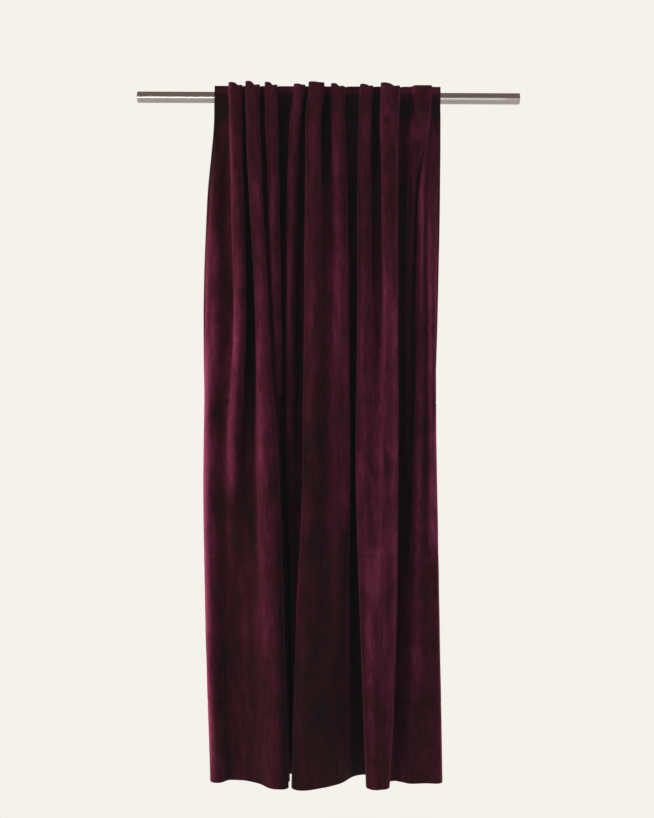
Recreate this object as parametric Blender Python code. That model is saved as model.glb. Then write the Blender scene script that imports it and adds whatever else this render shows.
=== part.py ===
"""A gathered velvet curtain hanging from a plain round rod by hidden straps on its back.

Metres, +Z up. The rod lies along X with its middle at the origin, and the cloth's face
looks towards -Y. The cloth is one sheet, worked out as a plan curve at each height: a row
of the fold table is a crest or a hollow, and the cloth swings from one to the next.
"""

import math
from typing import NamedTuple

import bpy
import numpy as np

ROD_RADIUS = 0.014
ROD_LENGTH = 0.980
ROD_SIDES = 48

CLOTH_WIDTH = 1.350  # laid flat, side hem to side hem
CLOTH_TOP = 0.0255  # above the rod's axis
CLOTH_BOTTOM = -1.752
CLOTH_THICKNESS = 0.002
HEM_EXTRA = 0.0008  # the turned cloth behind the heading, the bottom hem and the side hems
HEADING_LINE = -0.062  # the row of stitches under the turned heading
BOTTOM_HEM = 0.060
SIDE_HEM_CELLS = 2

STRAP_WIDTH = 0.020
STRAP_THICKNESS = 0.0016
STRAP_ROD_GAP = 0.0006
STRAP_CLOTH_GAP = 0.0004
STRAP_STEPS = 12  # round the back of the rod
STRAP_TOP = (0.0205, 0.0175)  # the upper end lies on the cloth's back between these heights
STRAP_SEAM = (-0.047, -0.057)  # and the lower end between these

COLUMNS_PER_RUN = 5
COLUMNS_PER_SHORT_RUN = 3
SHORT_RUN = 0.034
COLUMNS_PER_FLAT = 1
FINE_STEPS = 48
STEEPEST = math.radians(106)
BUNCHING = 0.35  # how far the columns of a run draw in to its two bends

# Heights at which the fold table gives its numbers, in millimetres from the rod's axis.
LEVELS = (24, 5, -20, -62, -270, -574, -903, -1283, -1752)


class Bend(NamedTuple):
    """A crest or a hollow of the cloth, in millimetres, one number for each level."""

    name: str
    strap: bool  # a strap is sewn behind it
    flat_top: float  # width of its flat place at the heading
    flat_low: float  # and from the neck of the folds down
    sag: tuple  # of the top edge, at the flat place's left and right end
    across: tuple
    forward: tuple


BENDS = (
    Bend("left edge", False, 0, 0, (0, 0),
         (-291, -291, -292, -293, -309, -318, -312, -296, -275),
         (14.5, 18.5, 13, 6, 6, -2, -18, -44, -62)),
    Bend("left ridge", True, 20, 2, (0, 0),
         (-276, -276, -276, -277, -287, -300, -303, -294, -275),
         (14.5, 18.5, 13, 6, 26, 26, 24, 24, 26)),
    Bend("left groove", False, 0, 0, (0, 0),
         (-258, -258, -258, -259, -261, -251, -268, -256, -241),
         (14.5, 18.5, 13, 6, 14, 12, 14, 8, 2)),
    Bend("fold 1", False, 14, 2, (3, 11),
         (-235, -234, -234, -234, -227, -221, -235, -228, -215),
         (49.5, 53.5, 51, 50, 62, 66, 46, 14, 4)),
    Bend("groove 1", True, 16, 2, (0, 0),
         (-207, -207, -210, -217, -204, -198, -201, -193, -176),
         (14.5, 18.5, 12, 4, 6, 0, 22, 28, 24)),
    Bend("fold 2", False, 12, 8, (4, 14),
         (-192, -192, -192, -191, -179, -160, -149, -131, -113),
         (60.5, 64.5, 62, 60, 68, 74, 78, 78, 74)),
    Bend("groove 2", True, 16, 2, (0, 0),
         (-161, -161, -163, -168, -161, -142, -125, -110, -100),
         (14.5, 18.5, 12, 4, 22, 30, 16, 20, 18)),
    Bend("fold 3", False, 10, 2, (4, 12),
         (-146, -146, -145, -144, -138, -131, -123, -119, -114),
         (54.5, 58.5, 57, 56, 60, 50, 0, -16, -24)),
    Bend("groove 3", True, 30, 4, (0, 0),
         (-109, -108, -111, -116, -116, -113, -114, -96, -91),
         (14.5, 18.5, 11, 2, 2, -12, -30, -44, -50)),
    Bend("fold 4", False, 12, 2, (3, 6),
         (-73, -73, -77, -84, -90, -93, -90, -85, -78),
         (41.5, 45.5, 43, 42, 44, 36, 12, -24, -40)),
    Bend("groove 4", True, 14, 2, (0, 0),
         (-51, -51, -55, -62, -69, -75, -77, -72, -70),
         (14.5, 18.5, 12, 4, 6, -6, -8, -14, -24)),
    Bend("fold 5", False, 16, 2, (4, 6),
         (-31, -31, -34, -38, -39, -37, -36, -47, -59),
         (58.5, 62.5, 62, 62, 74, 80, 84, 84, 82)),
    Bend("groove 5", True, 16, 2, (0, 0),
         (-1, -1, -3, -5, -3, 0, 3, -3, -5),
         (14.5, 18.5, 14, 10, 32, 50, 63, 64, 60)),
    Bend("fold 6", False, 12, 2, (3, 11),
         (21, 21, 22, 23, 30, 35, 35, 33, 30),
         (45.5, 49.5, 49, 49, 57, 62, 68, 54, 34)),
    Bend("groove 6", True, 22, 6, (0, 0),
         (63, 63, 62, 62, 69, 75, 78, 88, 107),
         (14.5, 18.5, 12, 4, 2, -12, -24, -36, -46)),
    Bend("fold 7", False, 14, 2, (3, 8),
         (96, 96, 95, 93, 89, 92, 95, 109, 129),
         (41.5, 45.5, 45, 47, 60, 66, 74, 76, 76)),
    Bend("groove 7", True, 14, 2, (0, 0),
         (128, 128, 126, 123, 123, 127, 126, 132, 138),
         (14.5, 18.5, 13, 6, 18, 36, 66, 70, 73)),
    Bend("fold 8", False, 24, 8, (4, 13),
         (154, 154, 154, 153, 154, 156, 153, 153, 144),
         (54.5, 58.5, 58, 60, 66, 66, 70, 72, 72)),
    Bend("groove 8", True, 14, 4, (0, 0),
         (199, 199, 197, 194, 192, 194, 198, 190, 180),
         (14.5, 18.5, 12, 4, 4, -8, -20, -14, 4)),
    Bend("fold 9", False, 34, 2, (1, 1),
         (242, 241, 240, 236, 214, 208, 206, 196, 187),
         (28.5, 32.5, 31, 31, 30, 12, -8, -8, 8)),
    Bend("groove 9", False, 0, 0, (0, 0),
         (253, 252, 251, 248, 220, 219, 214, 203, 194),
         (16.5, 20.5, 16, 12, 6, -6, -14, -2, 12)),
    Bend("fold 10", False, 0, 0, (0, 0),
         (263, 263, 261, 258, 242, 242, 237, 227, 219),
         (15.5, 19.5, 16, 12, 22, 26, 28, 26, 26)),
    Bend("groove 10", False, 0, 0, (0, 0),
         (268, 268, 267, 266, 249, 253, 255, 255, 257),
         (14.5, 18.5, 15, 11, 20, 18, 18, 22, 22)),
    Bend("right ridge", True, 10, 2, (0, 0),
         (277, 276, 277, 276, 259, 266, 269, 275, 283),
         (14.5, 18.5, 14, 10, 24, 26, 24, 24, 24)),
    Bend("right edge", False, 0, 0, (0, 0),
         (286, 286, 286, 287, 286, 282, 276, 278, 287),
         (14.5, 18.5, 14, 10, 8, -4, -16, -34, -46)),
)

# Heights of the rows of the cloth's mesh, in millimetres.
ROWS = (CLOTH_TOP * 1000, 4, -10, -24, -44, -61.5, -63, -115, -190, -280, -385, -500, -625, -760,
        -900, -1040, -1180, -1325, -1470, -1600, -1691, -1693, CLOTH_BOTTOM * 1000)


def clear_scene():
    for item in list(bpy.data.objects):
        bpy.data.objects.remove(item, do_unlink=True)


def material(name, colour, roughness, metallic):
    made = bpy.data.materials.new(name)
    made.use_nodes = True
    shader = made.node_tree.nodes["Principled BSDF"]
    shader.inputs["Base Color"].default_value = (*colour, 1.0)
    shader.inputs["Roughness"].default_value = roughness
    shader.inputs["Metallic"].default_value = metallic
    return made


def add_node(name, points, faces, finish):
    mesh = bpy.data.meshes.new(name)
    mesh.from_pydata([tuple(map(float, p)) for p in points], [], faces)
    mesh.materials.append(finish)
    mesh.update()
    node = bpy.data.objects.new(name, mesh)
    bpy.context.scene.collection.objects.link(node)
    return node


def along_levels(values, height):
    """Smooth value at a height from one number per level, with no overshoot."""
    levels = np.array(LEVELS[::-1], float)
    numbers = np.array(values[::-1], float)
    steps = np.diff(levels)
    slopes = np.diff(numbers) / steps
    tangents = np.zeros(len(numbers))
    for i in range(1, len(numbers) - 1):
        if slopes[i - 1] * slopes[i] > 0:
            tangents[i] = 2 * slopes[i - 1] * slopes[i] / (slopes[i - 1] + slopes[i])
    tangents[0] = slopes[0]
    at = float(np.clip(height, levels[0], levels[-1]))
    i = int(np.clip(np.searchsorted(levels, at) - 1, 0, len(steps) - 1))
    t = (at - levels[i]) / steps[i]
    return (
        numbers[i] * (2 * t**3 - 3 * t**2 + 1)
        + numbers[i + 1] * (3 * t**2 - 2 * t**3)
        + steps[i] * tangents[i] * (t**3 - 2 * t**2 + t)
        + steps[i] * tangents[i + 1] * (t**3 - t**2)
    )


def flat_at(bend, height):
    """Width of the bend's flat place: the heading's down to the stitches, then easing off."""
    share = np.clip((-height - 62) / 160, 0, 1)
    ease = share * share * (3 - 2 * share)
    return bend.flat_top * (1 - ease) + bend.flat_low * ease


def swing_path(swing, lead, tail):
    """Unit run whose direction swings out from lead and back to tail, as a river's does."""
    share = np.linspace(0, 1, FINE_STEPS + 1)
    turn = lead * (1 - share) + tail * share + swing * np.sin(np.pi * share)
    middle = (turn[1:] + turn[:-1]) / 2
    x = np.concatenate([[0], np.cumsum(np.cos(middle))]) / FINE_STEPS
    y = np.concatenate([[0], np.cumsum(np.sin(middle))]) / FINE_STEPS
    return x, y


def swing_for(direction, lead, tail):
    """The swing whose run ends in the given direction from its start."""
    swings = np.linspace(-3.2, 3.2, 33)[:, None]
    share = (np.arange(FINE_STEPS) + 0.5) / FINE_STEPS
    turn = lead * (1 - share) + tail * share + swings * np.sin(np.pi * share)
    ends = np.arctan2(np.sin(turn).sum(axis=1), np.cos(turn).sum(axis=1))
    return float(np.interp(direction, ends, swings[:, 0]))


def bend_direction(before, after):
    """Direction of the cloth through a bend: level at a crest or a hollow, else between its runs'."""
    if before * after <= 0:
        return 0.0
    return 2 * before * after / (before + after)


def run_points(start, end, lead, tail):
    """The cloth between two bends, finely. A run that leans back too far is sheared into place."""
    dx, dy = end[0] - start[0], end[1] - start[1]
    direction = math.atan2(dy, dx)
    shear = 0.0
    if abs(direction) > STEEPEST:
        upright = abs(dy) / math.tan(STEEPEST)
        shear = (dx - upright) / dy
        dx = upright
        direction = math.copysign(STEEPEST, dy)
    x, y = swing_path(swing_for(direction, lead, tail), lead, tail)
    run = (x + 1j * y) * complex(dx, dy) / complex(x[-1], y[-1])
    return np.column_stack([start[0] + run.real + shear * run.imag, start[1] + run.imag])


def through_directions(centres):
    """Direction of the cloth through every bend."""
    steps = np.diff(np.array(centres), axis=0)
    angles = [math.atan2(dy, dx) for dx, dy in steps]
    inner = [bend_direction(a, b) for a, b in zip(angles, angles[1:])]
    return [0.6 * angles[0], *inner, 0.6 * angles[-1]]


def runs_at(height, depth_scale, rest):
    """Every run of the cloth at a height: the swings between bends and the flat places on them."""
    centres = [
        (along_levels(bend.across, height), rest + (along_levels(bend.forward, height) - rest) * depth_scale)
        for bend in BENDS
    ]
    through = through_directions(centres)
    runs, start = [], None
    for i, (bend, centre) in enumerate(zip(BENDS, centres)):
        half = flat_at(bend, height) / 2
        lean = np.array([math.cos(through[i]), math.sin(through[i])]) * half
        if start is not None:
            runs.append(run_points(start, centre - lean, through[i - 1], through[i]))
        if bend.flat_top > 0:
            runs.append(np.array([centre - lean, centre + lean]))
        start = centre + lean
    return runs


def length_of(points):
    return float(np.hypot(*np.diff(points, axis=0).T).sum())


def width_at(height, depth_scale, rest):
    return sum(length_of(run) for run in runs_at(height, depth_scale, rest))


def depth_scale_at(height, rest):
    """How far the table's depths are stretched so the cloth keeps its width at every height."""
    low, high = 0.8, 1.4
    short = width_at(height, low, rest) - CLOTH_WIDTH * 1000
    long = width_at(height, high, rest) - CLOTH_WIDTH * 1000
    for _ in range(4):
        scale = low - short * (high - low) / (long - short)
        miss = width_at(height, scale, rest) - CLOTH_WIDTH * 1000
        if miss < 0:
            low, short = scale, miss
        else:
            high, long = scale, miss
    return scale


def rest_depth(height):
    return along_levels((14.5, 18.5, 12, 4, 6, 8, 10, 10, 10), height)


def resample(points, columns):
    """Points of a run at its columns, drawn in to the bends at both its ends."""
    lengths = np.concatenate([[0], np.cumsum(np.hypot(*np.diff(points, axis=0).T))])
    share = np.linspace(0, 1, columns + 1)
    share = share - BUNCHING * np.sin(2 * np.pi * share) / (2 * np.pi)
    at = share * lengths[-1]
    return np.column_stack([np.interp(at, lengths, points[:, i]) for i in (0, 1)])


def column_counts():
    """Columns for each run, from its greatest length over the levels."""
    top_runs = runs_at(LEVELS[0], 1.0, rest_depth(LEVELS[0]))
    longest = np.zeros(len(top_runs))
    for level in LEVELS:
        lengths = [length_of(run) for run in runs_at(level, 1.0, rest_depth(level))]
        longest = np.maximum(longest, lengths)
    counts = []
    for run, length in zip(top_runs, longest):
        if len(run) == 2:
            counts.append(COLUMNS_PER_FLAT)
        elif length < SHORT_RUN * 1000:
            counts.append(COLUMNS_PER_SHORT_RUN)
        else:
            counts.append(COLUMNS_PER_RUN)
    return counts


def plan_curve(height, counts):
    """The cloth's middle line at a height, one point per column, in metres with +Y to the back."""
    rest = rest_depth(height)
    runs = runs_at(height, depth_scale_at(height, rest), rest)
    parts = [resample(run, count) for run, count in zip(runs, counts)]
    points = np.vstack([parts[0]] + [part[1:] for part in parts[1:]])
    return np.column_stack([points[:, 0], -points[:, 1]]) / 1000


def top_sags(counts):
    """How far the top edge sags at each column: a crest's right shoulder droops the most."""
    sags, previous, counts = [0.0], 0.0, iter(counts)
    for bend in BENDS:
        if bend is not BENDS[0]:
            sags += list(np.linspace(previous, bend.sag[0], next(counts) + 1)[1:])
        if bend.flat_top > 0:
            sags += list(np.linspace(bend.sag[0], bend.sag[1], next(counts) + 1)[1:])
        previous = bend.sag[1]
    return np.array(sags)


def outward(points):
    """Unit vectors square to a plan curve, towards its face."""
    along = np.gradient(points, axis=0)
    along /= np.linalg.norm(along, axis=1)[:, None]
    return np.column_stack([along[:, 1], -along[:, 0]])


def back_extra(row, column, columns):
    """Extra cloth behind the face at a vertex: the turned heading and the three hems."""
    height = ROWS[row]
    turned = height > HEADING_LINE * 1000 or height < (CLOTH_BOTTOM + BOTTOM_HEM) * 1000
    side = column < SIDE_HEM_CELLS or column >= columns - SIDE_HEM_CELLS
    return HEM_EXTRA if turned or side else 0.0


def panel_sides(counts):
    """Face and back of the cloth as two grids of points, row by row from the top."""
    face, back = [], []
    sags = top_sags(counts)
    for row, height in enumerate(ROWS):
        middle = plan_curve(height, counts)
        square = outward(middle)
        extra = np.array([back_extra(row, c, len(middle)) for c in range(len(middle))])
        share = max(0.0, (height - HEADING_LINE * 1000) / (ROWS[0] - HEADING_LINE * 1000))
        z = (height - sags[:, None] * share * share) / 1000
        face.append(np.hstack([middle + square * CLOTH_THICKNESS / 2, z]))
        back.append(np.hstack([middle - square * (CLOTH_THICKNESS / 2 + extra)[:, None], z]))
    return np.array(face), np.array(back)


def build_panel(finish):
    counts = column_counts()
    face, back = panel_sides(counts)
    rows, columns = face.shape[:2]
    half = rows * columns
    points = np.vstack([face.reshape(-1, 3), back.reshape(-1, 3)])
    faces = []
    for r in range(rows - 1):
        for c in range(columns - 1):
            a, b = r * columns + c, r * columns + c + 1
            d, e = a + columns, b + columns
            faces += [(a, d, e), (a, e, b)]
            faces += [(a + half, e + half, d + half), (a + half, b + half, e + half)]
    ring = [r * columns for r in range(rows)]
    ring += [(rows - 1) * columns + c for c in range(1, columns)]
    ring += [r * columns + columns - 1 for r in range(rows - 2, -1, -1)]
    ring += list(range(columns - 2, 0, -1))
    for a, b in zip(ring, ring[1:] + ring[:1]):
        faces += [(a, a + half, b + half), (a, b + half, b)]
    add_node("curtain_panel", points, faces, finish)


def cloth_back(bend, height):
    """Y of the cloth's back behind a strapped bend, at a height of the heading."""
    rest = rest_depth(height * 1000)
    scale = depth_scale_at(height * 1000, rest)
    forward = rest + (along_levels(bend.forward, height * 1000) - rest) * scale
    return CLOTH_THICKNESS / 2 + HEM_EXTRA - forward / 1000


def rod_tangent(point, radius, side):
    """Angle on a circle round the rod at which a straight line to the point leaves it."""
    y, z = point
    return math.atan2(z, y) + side * math.acos(radius / math.hypot(y, z))


def strap_line(bend):
    """Middle line of a strap from its upper end over and behind the rod to its seam."""
    inset = STRAP_CLOTH_GAP + STRAP_THICKNESS / 2
    ends = [(cloth_back(bend, z) + inset, z) for z in STRAP_TOP + STRAP_SEAM]
    radius = ROD_RADIUS + STRAP_ROD_GAP + STRAP_THICKNESS / 2
    first = rod_tangent(ends[1], radius, -1)
    last = rod_tangent(ends[2], radius, 1)
    turns = np.linspace(first, last, STRAP_STEPS + 1)
    wrap = [(radius * math.cos(t), radius * math.sin(t)) for t in turns]
    return np.array([ends[0], ends[1], *wrap, ends[2], ends[3]])


def build_strap(name, bend, finish):
    line = strap_line(bend)
    along = np.gradient(line, axis=0)
    along /= np.linalg.norm(along, axis=1)[:, None]
    square = np.column_stack([-along[:, 1], along[:, 0]]) * STRAP_THICKNESS / 2
    middle = along_levels(bend.across, 0) / 1000
    points = []
    for x in (middle - STRAP_WIDTH / 2, middle + STRAP_WIDTH / 2):
        points += [(x, y, z) for y, z in line + square]
        points += [(x, y, z) for y, z in line - square]
    count = len(line)
    outer, inner, outer_far, inner_far = 0, count, 2 * count, 3 * count
    faces = []
    for i in range(count - 1):
        j = i + 1
        faces.append((outer + i, outer_far + i, outer_far + j, outer + j))
        faces.append((inner + i, inner + j, inner_far + j, inner_far + i))
        faces.append((outer + i, outer + j, inner + j, inner + i))
        faces.append((outer_far + i, inner_far + i, inner_far + j, outer_far + j))
    k = count - 1
    faces.append((outer, inner, inner_far, outer_far))
    faces.append((outer + k, outer_far + k, inner_far + k, inner + k))
    add_node(name, points, faces, finish)


def build_rod(finish):
    points, faces = [], []
    for x in (-ROD_LENGTH / 2, ROD_LENGTH / 2):
        for i in range(ROD_SIDES):
            angle = math.tau * (i + 0.5) / ROD_SIDES
            points.append((x, ROD_RADIUS * math.sin(angle), ROD_RADIUS * math.cos(angle)))
    for i in range(ROD_SIDES):
        j = (i + 1) % ROD_SIDES
        faces.append((i, i + ROD_SIDES, j + ROD_SIDES, j))
    faces.append(tuple(range(ROD_SIDES)))
    faces.append(tuple(range(2 * ROD_SIDES - 1, ROD_SIDES - 1, -1)))
    add_node("rod", points, faces, finish)


def main():
    clear_scene()
    velvet = material("velvet", (0.13, 0.02, 0.04), 0.9, 0.0)
    tape = material("woven_tape", (0.10, 0.02, 0.03), 0.8, 0.0)
    brushed = material("brushed_steel", (0.55, 0.53, 0.51), 0.35, 1.0)
    build_panel(velvet)
    strapped = [bend for bend in BENDS if bend.strap]
    for number, bend in enumerate(strapped, 1):
        build_strap(f"back_tab_{number:02d}", bend, tape)
    build_rod(brushed)


main()
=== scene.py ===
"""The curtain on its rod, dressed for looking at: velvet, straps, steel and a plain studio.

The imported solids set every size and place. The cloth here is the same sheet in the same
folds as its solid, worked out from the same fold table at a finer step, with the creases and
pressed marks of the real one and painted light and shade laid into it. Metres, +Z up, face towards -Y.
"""

import logging
import math
from collections.abc import Sequence
from dataclasses import dataclass, field
from enum import Enum
from typing import ClassVar

import bpy
import numpy as np
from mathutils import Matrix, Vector


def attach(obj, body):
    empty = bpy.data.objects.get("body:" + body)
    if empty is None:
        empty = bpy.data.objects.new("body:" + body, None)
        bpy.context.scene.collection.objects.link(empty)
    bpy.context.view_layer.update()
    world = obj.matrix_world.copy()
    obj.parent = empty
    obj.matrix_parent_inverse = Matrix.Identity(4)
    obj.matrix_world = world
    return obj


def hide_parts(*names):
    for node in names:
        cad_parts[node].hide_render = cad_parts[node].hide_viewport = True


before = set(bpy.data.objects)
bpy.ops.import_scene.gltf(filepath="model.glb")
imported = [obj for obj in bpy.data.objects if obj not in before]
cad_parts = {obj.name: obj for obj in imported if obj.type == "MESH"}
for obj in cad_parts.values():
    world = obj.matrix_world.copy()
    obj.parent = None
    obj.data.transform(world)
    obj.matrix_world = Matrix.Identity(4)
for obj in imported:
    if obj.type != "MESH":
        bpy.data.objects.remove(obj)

log = logging.getLogger("curtain")

Point = tuple[float, float, float]
Faces = list[tuple[int, ...]]

PHOTO_WIDTH = 654
PHOTO_HEIGHT = 818
MM = 0.001
STROKE_FADE = 36.0  # pixels over which a mark in the pile fades at its ends
FAR = 1e9
SLACK = 1e-6  # metres, for the rounding of a height
HAIR = 1e-9  # metres, for the rounding of a distance


def linear(hex_colour: str) -> tuple[float, float, float, float]:
    """Turns an sRGB hex colour into Blender's linear one.

    Args:
        hex_colour: Six hex digits, such as "f5f2eb".

    Returns:
        Linear red, green, blue and an alpha of one.
    """
    parts = [int(hex_colour[i : i + 2], 16) / 255 for i in (0, 2, 4)]
    turned = [p / 12.92 if p <= 0.04045 else ((p + 0.055) / 1.055) ** 2.4 for p in parts]
    return (turned[0], turned[1], turned[2], 1.0)


def add_node(
    tree: bpy.types.NodeTree,
    kind: str,
    values: dict[str | int, object] | None = None,
    links: dict[str | int, bpy.types.NodeSocket] | None = None,
    **settings: object,
) -> bpy.types.Node:
    """Adds one shader node with its settings, socket values and incoming links.

    Args:
        tree: Node tree that the node joins.
        kind: Blender's name for the node type.
        values: Value for each input socket that holds a constant.
        links: Output socket that feeds each linked input.
        **settings: Properties of the node itself.

    Returns:
        The new node.
    """
    node = tree.nodes.new(kind)
    for name, setting in settings.items():
        setattr(node, name, setting)
    for name, value in (values or {}).items():
        node.inputs[name].default_value = value
    for name, source in (links or {}).items():
        tree.links.new(source, node.inputs[name])
    return node


def new_material(name: str) -> tuple[bpy.types.Material, bpy.types.NodeTree, bpy.types.Node]:
    """Makes an empty node material with its output.

    Args:
        name: Name of the material.

    Returns:
        The material, its node tree and its output node.
    """
    made = bpy.data.materials.new(name)
    made.use_nodes = True
    made.node_tree.nodes.clear()
    output = add_node(made.node_tree, "ShaderNodeOutputMaterial")
    return made, made.node_tree, output


def tone_ramp(
    tree: bpy.types.NodeTree, source: bpy.types.NodeSocket, stops: Sequence[tuple[float, str]]
) -> bpy.types.NodeSocket:
    """Runs a value through a ramp of colours.

    Args:
        tree: Node tree that the ramp joins.
        source: Value from nought to one.
        stops: Place and sRGB hex colour of each stop, in order.

    Returns:
        The ramp's colour output.
    """
    ramp = add_node(tree, "ShaderNodeValToRGB", links={"Fac": source})
    elements = ramp.color_ramp.elements
    for index, (place, colour) in enumerate(stops):
        element = elements[index] if index < 2 else elements.new(place)
        element.position = place
        element.color = linear(colour)
    return ramp.outputs["Color"]


def noise(
    tree: bpy.types.NodeTree, place: bpy.types.NodeSocket, size: float, **values: float
) -> bpy.types.NodeSocket:
    """Soft noise with swells of a size in metres, its other inputs given by their names."""
    inputs = {"Scale": 1 / size, **values}
    return add_node(tree, "ShaderNodeTexNoise", inputs, {"Vector": place}).outputs["Fac"]


def bump(
    tree: bpy.types.NodeTree, height: bpy.types.NodeSocket, strength: float, relief: float
) -> bpy.types.NodeSocket:
    """Relief of a depth in metres, from a height between nought and one."""
    inputs = {"Strength": strength, "Distance": relief}
    return add_node(tree, "ShaderNodeBump", inputs, {"Height": height}).outputs["Normal"]


def surface(
    tree: bpy.types.NodeTree,
    output: bpy.types.Node,
    values: dict[str, object],
    links: dict[str, bpy.types.NodeSocket],
) -> None:
    """Ends a material in one principled shader."""
    shader = add_node(tree, "ShaderNodeBsdfPrincipled", values, links)
    tree.links.new(shader.outputs["BSDF"], output.inputs["Surface"])


@dataclass(frozen=True)
class CutPileVelvet:
    """Cotton velvet with a short cut pile, piece dyed wine red and worn by packing.

    The pile gives the eye a dark, matt face, paler at grazing angles, and uneven patches
    where it has been brushed or pressed another way. Its tone also carries painted light and
    shade: paler crests and edges, darker hollows, grooves and right-facing sides.
    """

    name: str = "velvet"
    # darkest stop: pile pressed flat, and painted shade in the grooves and hollows
    pressed_and_shaded: str = "1e0609"
    deep: str = "42101d"
    face: str = "5e1c33"
    raised: str = "8a3253"
    # palest stop, reached where painted highlights lie along crests and edges
    painted_highlight: str = "c4577f"
    sheen_tint: str = "d9607f"
    sheen_weight: float = 0.55
    sheen_roughness: float = 0.34
    roughness: float = 0.86
    specular: float = 0.25
    patch: float = 26 * MM  # brushed patches, about 10 px wide and four times as tall
    squat: float = 0.24  # width of a patch or fleck over its height
    fleck: float = 7 * MM  # pile flecks are really 0.5 mm; drawn coarser so that they show
    swell: float = 11 * MM  # unevenness of the pile's surface
    relief: float = 0.9 * MM
    patch_share: float = 0.8  # how far the patches count beside the flecks
    pattern: tuple[float, float] = (0.55, 1.25)  # least and most of the two together
    pattern_tone: tuple[float, float] = (0.02, 0.94)  # the tones that they give
    brightest: float = 1.6  # tone at which the pile is as pale as it gets

    def _patches(self, tree: bpy.types.NodeTree, flat: bpy.types.NodeSocket) -> bpy.types.NodeSocket:
        """Tone of the pile, from broad brushed patches and small flecks, with the painted light and shade
        stored on the mesh added.

        Args:
            tree: Node tree of the velvet.
            flat: Place on the cloth laid flat, in metres.

        Returns:
            Tone from nought, where the pile is pressed flat and painted shade is deepest, to one, where a
            painted highlight lies on a crown.
        """
        drawn = add_node(tree, "ShaderNodeMapping", {"Scale": (1.0, self.squat, 1.0)}, {"Vector": flat})
        tall = drawn.outputs["Vector"]
        broad = noise(tree, tall, self.patch, Detail=3.0, Roughness=0.55, Distortion=0.3)
        fine = noise(tree, tall, self.fleck, Detail=7.0, Roughness=0.8, Distortion=0.5)
        parts = {0: broad, 2: fine}
        both = add_node(tree, "ShaderNodeMath", {1: self.patch_share}, parts, operation="MULTIPLY_ADD")
        ends = dict(zip(("From Min", "From Max", "To Min", "To Max"), self.pattern + self.pattern_tone))
        pattern = add_node(tree, "ShaderNodeMapRange", ends, {"Value": both.outputs[0]})
        # painted light and shade of the folds and marks, with the pile's pressed tone, as stored on the mesh
        painted_light_and_pile_tone = add_node(tree, "ShaderNodeAttribute", attribute_name="painted_light_and_pile_tone")
        parts = {0: pattern.outputs["Result"], 1: painted_light_and_pile_tone.outputs["Fac"]}
        tone = add_node(tree, "ShaderNodeMath", links=parts, operation="ADD")
        whole = {"From Max": self.brightest}
        return add_node(tree, "ShaderNodeMapRange", whole, {"Value": tone.outputs[0]}).outputs["Result"]

    def material(self) -> bpy.types.Material:
        """Builds the velvet's material, mapped on the cloth laid flat.

        Returns:
            The material.
        """
        made, tree, output = new_material(self.name)
        flat = add_node(tree, "ShaderNodeUVMap", uv_map="flat").outputs["UV"]
        tone = self._patches(tree, flat)
        colours = (self.pressed_and_shaded, self.deep, self.face, self.raised, self.painted_highlight)
        colour = tone_ramp(tree, tone, tuple(zip((0.0, 0.21, 0.39, 0.62, 1.0), colours)))
        pile = noise(tree, flat, self.swell, Detail=5.0, Roughness=0.62)
        matt = {
            "Roughness": self.roughness,
            "Specular IOR Level": self.specular,
            "Sheen Weight": self.sheen_weight,
            "Sheen Roughness": self.sheen_roughness,
            "Sheen Tint": linear(self.sheen_tint),
        }
        surface(tree, output, matt, {"Base Color": colour, "Normal": bump(tree, pile, 0.55, self.relief)})
        return made


@dataclass(frozen=True)
class PlainWeave:
    """Plain woven cloth dyed to the velvet: its straps' header tape, or its own cotton ground.

    A flat matt ribbing tells it from the pile of the face.
    """

    name: str
    shade: str
    light: str
    rib: float  # ribs are really 0.5 mm; drawn coarser so that they show
    worn: float = 40 * MM  # size of its worn patches
    relief: float = 0.25 * MM
    band: ClassVar[float] = math.tau / 20  # width of one band of the wave texture at a scale of one

    def material(self) -> bpy.types.Material:
        """Builds the weave's material, ribbed across the length of the cloth.

        Returns:
            The material.
        """
        made, tree, output = new_material(self.name)
        flat = add_node(tree, "ShaderNodeUVMap", uv_map="flat").outputs["UV"]
        wave = {"Scale": self.band / self.rib, "Distortion": 0.6, "Detail": 2.0}
        ribs = add_node(tree, "ShaderNodeTexWave", wave, {"Vector": flat}, bands_direction="Y").outputs["Fac"]
        parts = {0: ribs, 2: noise(tree, flat, self.worn, Detail=3.0)}
        mixed = add_node(tree, "ShaderNodeMath", {1: 0.5}, parts, operation="MULTIPLY_ADD")
        colour = tone_ramp(tree, mixed.outputs[0], ((0.3, self.shade), (1.0, self.light)))
        matt = {"Roughness": 0.82, "Specular IOR Level": 0.25, "Sheen Weight": 0.08}
        surface(tree, output, matt, {"Base Color": colour, "Normal": bump(tree, ribs, 0.5, self.relief)})
        return made


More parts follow.
